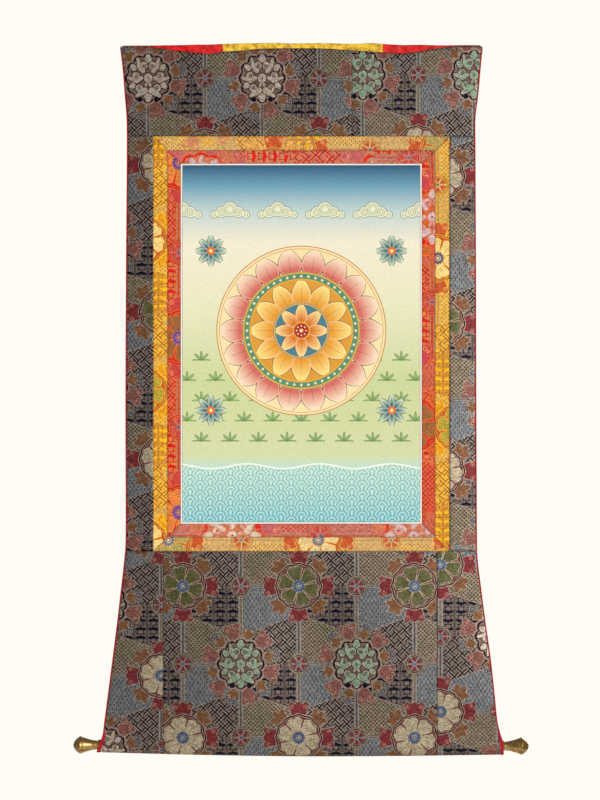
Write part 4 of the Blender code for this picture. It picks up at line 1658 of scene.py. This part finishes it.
# %% The parts of the ornament
def petal_ring(painter, radius, angle, count, inner, outer, root, tip):
    """A ring of pointed petals with pale tips and an ink outline."""
    half = math.pi / count
    beside = fold(angle, half) * radius
    share = (radius - inner) / (outer - inner)
    swell = calculate("POWER", sine(multiply_add(share, *PETAL_SWELL)), 0.7)
    inside = beside - swell * (half * (inner + outer) / 2)
    here = band(radius, (inner + outer) / 2, (outer - inner) / 2)
    painter.fill(inside, 0.6, "ink", here)
    petal = painter.fresh(root)
    petal.paint(multiply_add(share, 1.2, -0.2, clamp=True), tip)
    painter.fill(inside, -0.4, petal.colour, here)
    painter.fill(abs(inside + 2.6), 0.35, "cream", here * 0.7)
    painter.fill(beside, 0.35, "ink", here * below(share, 0.72, 0.2) * 0.6)


def bead_ring(painter, radius, angle, count, middle, size, colour):
    """Round beads, evenly spaced round a ring."""
    beads = length_of(wrap(angle, 2 * math.pi / count) * middle, radius - middle)
    painter.fill(beads, size, colour)


def paint_water(painter, x, y):
    """Overlapping scales under a waved shore line."""
    shore = multiply_add(sine(x * 0.052), 4.0, SHORE)
    water = below(y, shore, 0.6)
    row = floor_of(y * (2 / SCALE))
    moved = wrap(multiply_add(remainder(row, 2.0), SCALE, x), 2 * SCALE)
    rings = fold(length_of(moved, y - row * (SCALE / 2)), SCALE / 6)
    painter.fill(rings, 0.55, "foam", water * 0.8)
    painter.paint(above(rings, 2.2) * water * 0.55, "deep water")
    painter.line(y - shore, 0.0, 1.3, "shore", soft=0.5)


def paint_sprigs(painter, x, y):
    """Small fans of leaves in offset rows on the pale green ground."""
    row = floor_of(y / SPRIG_ROW)
    moved = wrap(multiply_add(remainder(row, 2.0), SPRIG_PITCH / 2, x), SPRIG_PITCH)
    height = y - row * SPRIG_ROW - 6.0
    radius, angle = polar(moved, height)
    leaf = fold(angle, math.pi / 8) * radius
    shape = leaf - sine(radius * (math.pi / 17.0)) * 1.7
    here = band(y, -92.0, 82.0, 3.0) * above(height, -0.5) * below(radius, 16.0)
    painter.fill(shape, 0.5, "sprig edge", here)
    painter.fill(shape, -0.3, "sprig", here)


def paint_clouds(painter, x, y):
    """A row of cloud heads under the dark sky."""
    beside = abs(wrap(x + CLOUD_PITCH / 2, CLOUD_PITCH))
    high = y - CLOUD_HEIGHT
    puffs = least(
        length_of(beside, high) - 12.0,
        length_of(beside - 14.0, high + 5.0) - 9.0,
        length_of(beside - 27.0, high + 9.0) - 6.0,
    )
    painter.fill(puffs, 0.8, "cloud edge")
    painter.fill(puffs, 0.0, "cloud")
    painter.fill(abs(puffs + 3.2), 0.5, "cloud fold")
    painter.fill(abs(puffs + 6.2), 0.4, "cloud heart")


def paint_roundel(painter, x, y):
    """A lotus seen from above: three rings of petals, with bands and beads between them."""
    radius, angle = polar(x, y - ROUNDEL_HEIGHT)
    painter.fill(radius, ROUNDEL_RADIUS, "halo", soft=1.0)
    painter.line(radius, ROUNDEL_RADIUS, 0.7, "rust")
    painter.line(radius, 137.5, 0.4, "rust")
    petal_ring(painter, radius, angle, 18, 98.0, 135.0, "rose", "rose tip")
    painter.fill(radius, 99.0, "jade")
    painter.line(radius, 97.0, 1.2, "gilt")
    bead_ring(painter, radius, angle, 48, 91.5, 2.2, "pearl")
    painter.line(radius, 86.0, 1.2, "gilt")
    painter.fill(radius, 85.0, "ochre")
    petal_ring(painter, radius, angle, 12, 46.0, 84.0, "amber", "amber tip")
    painter.fill(radius, 47.0, "slate")
    painter.line(radius, 45.0, 1.0, "gilt")
    petal_ring(painter, radius, angle, 8, 14.0, 43.0, "orange", "orange tip")
    painter.fill(radius, 14.5, "gilt")
    painter.fill(radius, 12.5, "crimson")
    bead_ring(painter, radius, angle, 8, 8.0, 1.3, "straw")
    painter.fill(radius, 3.0, "straw")


def paint_corner_flowers(painter, x, y):
    """Four small flowers in the roundel's corners."""
    radius, angle = polar(abs(x) - CORNERS[0], abs(y - ROUNDEL_HEIGHT) - CORNERS[1])
    petal_ring(painter, radius, angle, 8, 6.0, 26.0, "teal", "teal tip")
    painter.fill(radius, 7.0, "coral")
    painter.fill(radius, 3.0, "straw")


ORNAMENT = (paint_water, paint_sprigs, paint_clouds, paint_corner_flowers, paint_roundel)
print("parts of the ornament:", len(ORNAMENT))


# %% The canvas
def shaded_ground(tree, y):
    """The sky, the fields and the water, as one ramp of colours up the picture."""
    ramp = add_node(tree, "ValToRGB")
    plug(tree, multiply_add(y, 1 / (2 * PICTURE_HALF[1]), 0.5), ramp.inputs["Fac"])
    stops = ramp.color_ramp.elements
    while len(stops) < len(GROUND_STOPS):
        stops.new(0.5)
    for stop, (place, colour) in zip(stops, GROUND_STOPS):
        stop.position = place
        stop.color = tone(*colour)
    return ramp.outputs["Color"]


def make_canvas_material():
    tree, given, result = new_group("Roundel picture", [("Place", "Vector", None)], [("Color", "Color")])
    x, y = split(tree, given.outputs["Place"])
    palette = {name: tone(*colour) for name, colour in PAINTS.items()}
    painter = Painter(tree, shaded_ground(tree, y), palette)
    for paint_part in ORNAMENT:
        paint_part(painter, x, y)
    edge = most(abs(x) - PICTURE_HALF[0], abs(y) - PICTURE_HALF[1])
    painter.paint(above(edge, -0.5), "ink")
    painter.paint(above(edge, 0.0), "bare")
    tree.links.new(painter.colour, result.inputs["Color"])
    print("nodes in the roundel picture:", len(tree.nodes))
    cloth = Cloth("painted canvas", 0.38, 0.38, 0.04)
    picture = cloth.add_group(tree, {})
    return cloth.finish(picture.outputs["Color"], 0.15, 0.86, specular=0.2)


painted = make_canvas_material()
bare_canvas = plain_material("bare canvas", tone(214, 204, 180), tone(196, 184, 158), 0.9, 0.38, 0.38)


def make_canvas():
    half = PAINTING_WIDTH / 2 + CANVAS_MARGIN - HALF_GAP
    top = PAINTING_TOP + CANVAS_MARGIN - HALF_GAP
    bottom = PAINTING_TOP - PAINTING_HEIGHT - CANVAS_MARGIN + HALF_GAP
    middle = PAINTING_TOP - PAINTING_HEIGHT / 2
    grid = []
    for share in spaced(top, bottom):
        z = mix(top, bottom, share)
        grid.append([flat_spot(mix(-half, half, part), z) for part in spaced(-half, half)])

    def pattern(_, across, down):
        return across, down - middle

    canvas = make_sheet("canvas_picture", grid, CANVAS / 2, painted, bare_canvas, pattern)
    declare(canvas, "painted_canvas", grid)


make_canvas()

# %% [markdown]
# ## The red edge binding
#
# A narrow red cloth is folded over each side edge. It is 2 mm wide, and wider where it closes the ends
# of the rod's pocket. Its face is rounded, because the fold stands a little proud of the brocade.

# %% Bindings
CROWN = (0.0, 0.12, 0.35, 0.65, 0.88, 1.0)  # shares of its width, from the outline inwards
BINDING_STEP = 0.0012
NARROWEST = 0.0002  # so that the end where it runs out still has faces
CROWN_ROWS = 4  # rows over which the crown rises at the top end


def binding_row(side, height, width, place, down):
    """A row of spots across the binding. place gives the (y, z) at an x."""
    edge = left_edge(height) if side == "left" else right_edge(height)
    inward = width if side == "left" else -width
    row = []
    for share in CROWN:
        x = edge + inward * share
        row.append(Spot(x, *place(x), inward * share, down))
    return row if side == "left" else row[::-1]


def make_binding(side):
    top = BINDING_STARTS.start
    heights = [mix(top, FRAME_TOP, share) for share in spaced(top, FRAME_TOP, BINDING_STEP)]
    heights += side_heights()
    grid = []
    for z in heights:
        width = max(binding_width(z), NARROWEST)
        grid.append(binding_row(side, z, width, lambda x: (hang(x, z), z), z))
    nominal = left_edge(ROD_HEIGHT) if side == "left" else right_edge(ROD_HEIGHT)
    length, previous = heights[-1], None
    for stretch, along in skirt_rows():
        here = skirt_place(nominal, stretch, along)
        length -= math.dist(here, previous) if previous else 0.0
        previous = here
        height = here[1]
        width = binding_width(height)
        grid.append(binding_row(side, height, width, lambda x: skirt_place(x, stretch, along), length))

    def crown(r, c):
        return BINDING_STANDS_OUT * math.sin(math.pi * CROWN[c]) ** 0.5 * min(r / CROWN_ROWS, 1.0)

    binding = make_sheet(f"binding_{side}", grid, CLOTH / 2, red_cloth, crown=crown)
    declare(binding, f"edge_binding_{side}", grid, layers=2)


for side in ("left", "right"):
    make_binding(side)

# %% [markdown]
# ## The silk cover
#
# Thin satin in three lengths, red, yellow and red, sewn behind the brocade's top edge and thrown over
# to hang down the back. From the front only the fold over the edge shows. Satin this thin keeps small
# sharp wrinkles at the fold and long soft ones where it hangs.

# %% Cover
FOLD_STEPS = 14
TURNED_IN = (0.0, 0.15, 0.3, 0.45, 0.6, 0.75, 0.9, 1.0)  # rows of the front strip
COVER_STEP = 0.0052
COVER_FREE = Span(-0.001, 0.004)  # from the brocade's top edge, between held silk and free silk
FOLD_WRINKLE = Noise(0.00170, 0.0105, 2, 3.3)
HUNG_WRINKLE = Noise(0.00060, 0.042, 4, 9.4)
FOLD_OPENS = Span(0.0, 0.25)  # shares of the length behind
WRINKLES_GROW = Span(0.02, 0.2)


def wrinkle(x, z, hung):
    """Small wrinkles at the fold, and longer, deeper ones where the silk hangs."""
    return noise_at(FOLD_WRINKLE, x, z) + noise_at(HUNG_WRINKLE, x, z) * hung


def free_at(x, z):
    """0 where the silk is held behind the brocade's top edge, 1 above it."""
    top = brocade_top(x)
    return ease(top + COVER_FREE.start, top + COVER_FREE.end, z)


def cover_rows():
    rows = [("front", share) for share in TURNED_IN]
    rows += [("over", i / FOLD_STEPS) for i in range(1, FOLD_STEPS)]
    return rows + [("back", share) for share in spaced(0.0, abs(COVER_BOTTOM), COVER_STEP)]


def cover_place(x, stretch, share):
    """The (y, z) of the cover's middle surface at x."""
    off_brocade = CLOTH / 2 + SEAM + SILK / 2
    fold_z = silk_top(x) - COVER_FOLD - SILK / 2
    if stretch == "front":
        z = mix(brocade_top(x) - COVER_TURN_IN, fold_z, share)
        return hang(x, z) + off_brocade + wrinkle(x, z, 0.0) * free_at(x, z), z
    free = free_at(x, fold_z)
    fold_y = hang(x, fold_z) + off_brocade + wrinkle(x, fold_z, 0.0) * free + COVER_FOLD
    if stretch == "over":
        angle = math.pi * share
        return fold_y - COVER_FOLD * math.cos(angle), fold_z + COVER_FOLD * math.sin(angle)
    deepest = sum(wave.depth for wave in COVER_WAVES)
    wavy = COVER_FOLDS * (deepest + sum(wave_at(wave, x) for wave in COVER_WAVES))
    z = mix(fold_z, COVER_BOTTOM, share)
    off_fold = off_brocade + 2 * COVER_FOLD
    off_back = CLOTH / 2 + COVER_OFF_BACK + SILK / 2
    off = mix(off_fold, off_back + wavy * ease(*COVER_WAVES_GROW, z), ease(*FOLD_OPENS, share))
    return hang(x, z) + off + wrinkle(x, z, ease(*WRINKLES_GROW, share)) * free, z


def make_cover(colour, side, start_at, end_at):
    """One length of the cover. start_at and end_at give its left and right X at a height."""
    name = f"{colour}{side}"
    shares = spaced(start_at(0.0), end_at(0.0), COVER_STEP)
    grid, previous = [], None
    lengths = [0.0] * len(shares)
    for stretch, along in cover_rows():
        height = cover_place(0.0, stretch, along)[1]
        start, end = start_at(height), end_at(height)
        row = []
        for i, share in enumerate(shares):
            x = mix(start, end, share)
            y, z = cover_place(x, stretch, along)
            if previous:
                lengths[i] += math.hypot(y - previous[i].y, z - previous[i].z)
            row.append(Spot(x, y, z, x, lengths[i]))
        grid.append(row)
        previous = row
    cover = make_sheet(f"cover_{name}", grid, SILK / 2, silks[colour])
    declare(cover, f"silk_cover_{name}", grid)


make_cover(
    "red",
    "_left",
    lambda z: left_edge(z) + COVER_INSET,
    lambda z: COVER_SEAM_LEFT - HALF_GAP,
)
make_cover(
    "yellow",
    "",
    lambda z: COVER_SEAM_LEFT + HALF_GAP,
    lambda z: COVER_SEAM_RIGHT - HALF_GAP,
)
make_cover(
    "red",
    "_right",
    lambda z: COVER_SEAM_RIGHT + HALF_GAP,
    lambda z: right_edge(z) - COVER_INSET,
)

# %% [markdown]
# ## The rod and its knobs
#
# The rod is plain turned wood, and only a thin ring of it shows beside each knob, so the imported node
# stays and gets wood for its material. The knobs are turned brass, a slender neck that swells to a
# crisp rim and a blunt cone. They are made again with more points, so the outline stays round close to,
# with two fine grooves from the turning tool.

# %% Wood, brass and the knobs
KNOB_OUTLINE = [
    (0.0000, 0.0073),
    (0.0100, 0.0084),
    (0.0190, 0.0108),
    (0.0240, 0.0124),
    (0.0275, 0.0137),
    (0.0296, 0.0146),
    (0.0301, 0.0147),
    (0.0306, 0.0145),
    (0.0330, 0.0131),
    (0.0362, 0.0106),
    (0.0385, 0.0080),
    (0.0402, 0.0055),
    (0.0412, 0.0034),
    (0.0417, 0.0019),
]
KNOB_NECK = 0.0070
KNOB_GROOVES = (0.0035, 0.0262)
GROOVE_DEPTH = 0.00030
GROOVE_REACH = 0.00050
SOCKET_CHAMFER = 0.0003
POINT = (0.0001, 0.0010)  # the cone's end: its length and its radius
KNOB_STEP = 0.00045
KNOB_SHARP_EDGE = 50  # degrees
TURN_STEPS = 72
DOUBLE = 1e-6


def solid_material(name, metallic):
    made, tree, shader = new_material(name)
    shader.inputs["Metallic"].default_value = metallic
    return made, tree, shader, add_node(tree, "TexCoord").outputs["Object"]


def grain(tree, place, scale, stretch, detail=5.0):
    """Noise drawn out along the rod."""
    mapping = add_node(tree, "Mapping")
    mapping.inputs["Scale"].default_value = stretch
    tree.links.new(place, mapping.inputs["Vector"])
    return noise_texture(tree, mapping.outputs["Vector"], scale, detail)


def finish_solid(tree, shader, colour, rough, height, strength):
    tree.links.new(colour, shader.inputs["Base Color"])
    plug(tree, rough, shader.inputs["Roughness"])
    give_relief(tree, shader, height, strength)


def make_wood():
    """Plain turned wood, with its rings drawn out along the rod."""
    made, tree, shader, place = solid_material("rod wood", 0.0)
    rings = grain(tree, place, 90.0, (0.06, 1.0, 1.0))
    painter = Painter(tree, tone(150, 108, 68))
    painter.paint(above(rings, 0.50, 0.20), tone(104, 68, 40))
    finish_solid(tree, shader, painter.colour, multiply_add(rings, 0.2, 0.52), rings, 0.3)
    return made


def make_brass():
    """Brass with clouds of patina, and fine marks round it from the turning tool."""
    made, tree, shader, place = solid_material("aged brass", 1.0)
    cloudy = grain(tree, place, 160.0, (1.0, 1.0, 1.0))
    turned = grain(tree, place, 420.0, (1.0, 0.05, 0.05), 2.0)
    painter = Painter(tree, tone(212, 176, 112))
    painter.paint(above(cloudy, 0.54, 0.24), tone(158, 124, 74))
    finish_solid(tree, shader, painter.colour, multiply_add(cloudy, 0.30, 0.20), turned, 0.12)
    return made


def knob_profile():
    """(distance out, radius) pairs from the socket, round the outside, to the middle of the cone."""
    radius_at = curve_through(KNOB_OUTLINE)
    end = KNOB_OUTLINE[-1][0]
    deep, wide = TENON_LENGTH + SEAM, TENON_RADIUS + SEAM
    profile = [(deep, 0.0), (deep, wide), (SOCKET_CHAMFER, wide), (0.0, wide + SOCKET_CHAMFER)]
    profile.append((0.0, KNOB_NECK))
    for share in spaced(0.0, end, KNOB_STEP):
        out = end * share
        cut = GROOVE_DEPTH * max(math.exp(-(((out - at) / GROOVE_REACH) ** 2)) for at in KNOB_GROOVES)
        profile.append((out, radius_at(out) - cut))
    return profile + [(KNOB_LENGTH - POINT[0], POINT[1]), (KNOB_LENGTH, 0.0)]


def make_knob(side, place_x, outward, brass):
    """The profile spun round the rod's axis, on the end of the rod."""
    bm = bmesh.new()
    verts = [bm.verts.new((outward * out, 0.0, radius)) for out, radius in knob_profile()]
    edges = [bm.edges.new(pair) for pair in zip(verts, verts[1:])]
    bmesh.ops.spin(
        bm,
        geom=verts + edges,
        cent=(0, 0, 0),
        axis=(1, 0, 0),
        angle=2 * math.pi,
        steps=TURN_STEPS,
        use_merge=True,
    )
    bmesh.ops.remove_doubles(bm, verts=bm.verts, dist=DOUBLE)
    bmesh.ops.recalc_face_normals(bm, faces=bm.faces)
    mesh = bpy.data.meshes.new(f"knob_{side}")
    bm.to_mesh(mesh)
    bm.free()
    mesh.materials.append(brass)
    mesh.shade_smooth()
    mesh.set_sharp_from_angle(angle=math.radians(KNOB_SHARP_EDGE))
    knob = add_object(f"knob_{side}", mesh)
    knob.location = (place_x, ROD_DEPTH, ROD_HEIGHT + ROD_TILT * place_x)
    knob.rotation_euler = (0.0, math.atan(-ROD_TILT), 0.0)
    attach(knob, "root")
    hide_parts(f"brass_knob_{side}")
    print(knob.name, "faces:", len(mesh.polygons))


wood = make_wood()
brass = make_brass()
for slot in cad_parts["roller_rod"].material_slots:
    slot.material = wood
make_knob("left", ROD_LEFT - SEAM, -1, brass)
make_knob("right", ROD_RIGHT + SEAM, 1, brass)
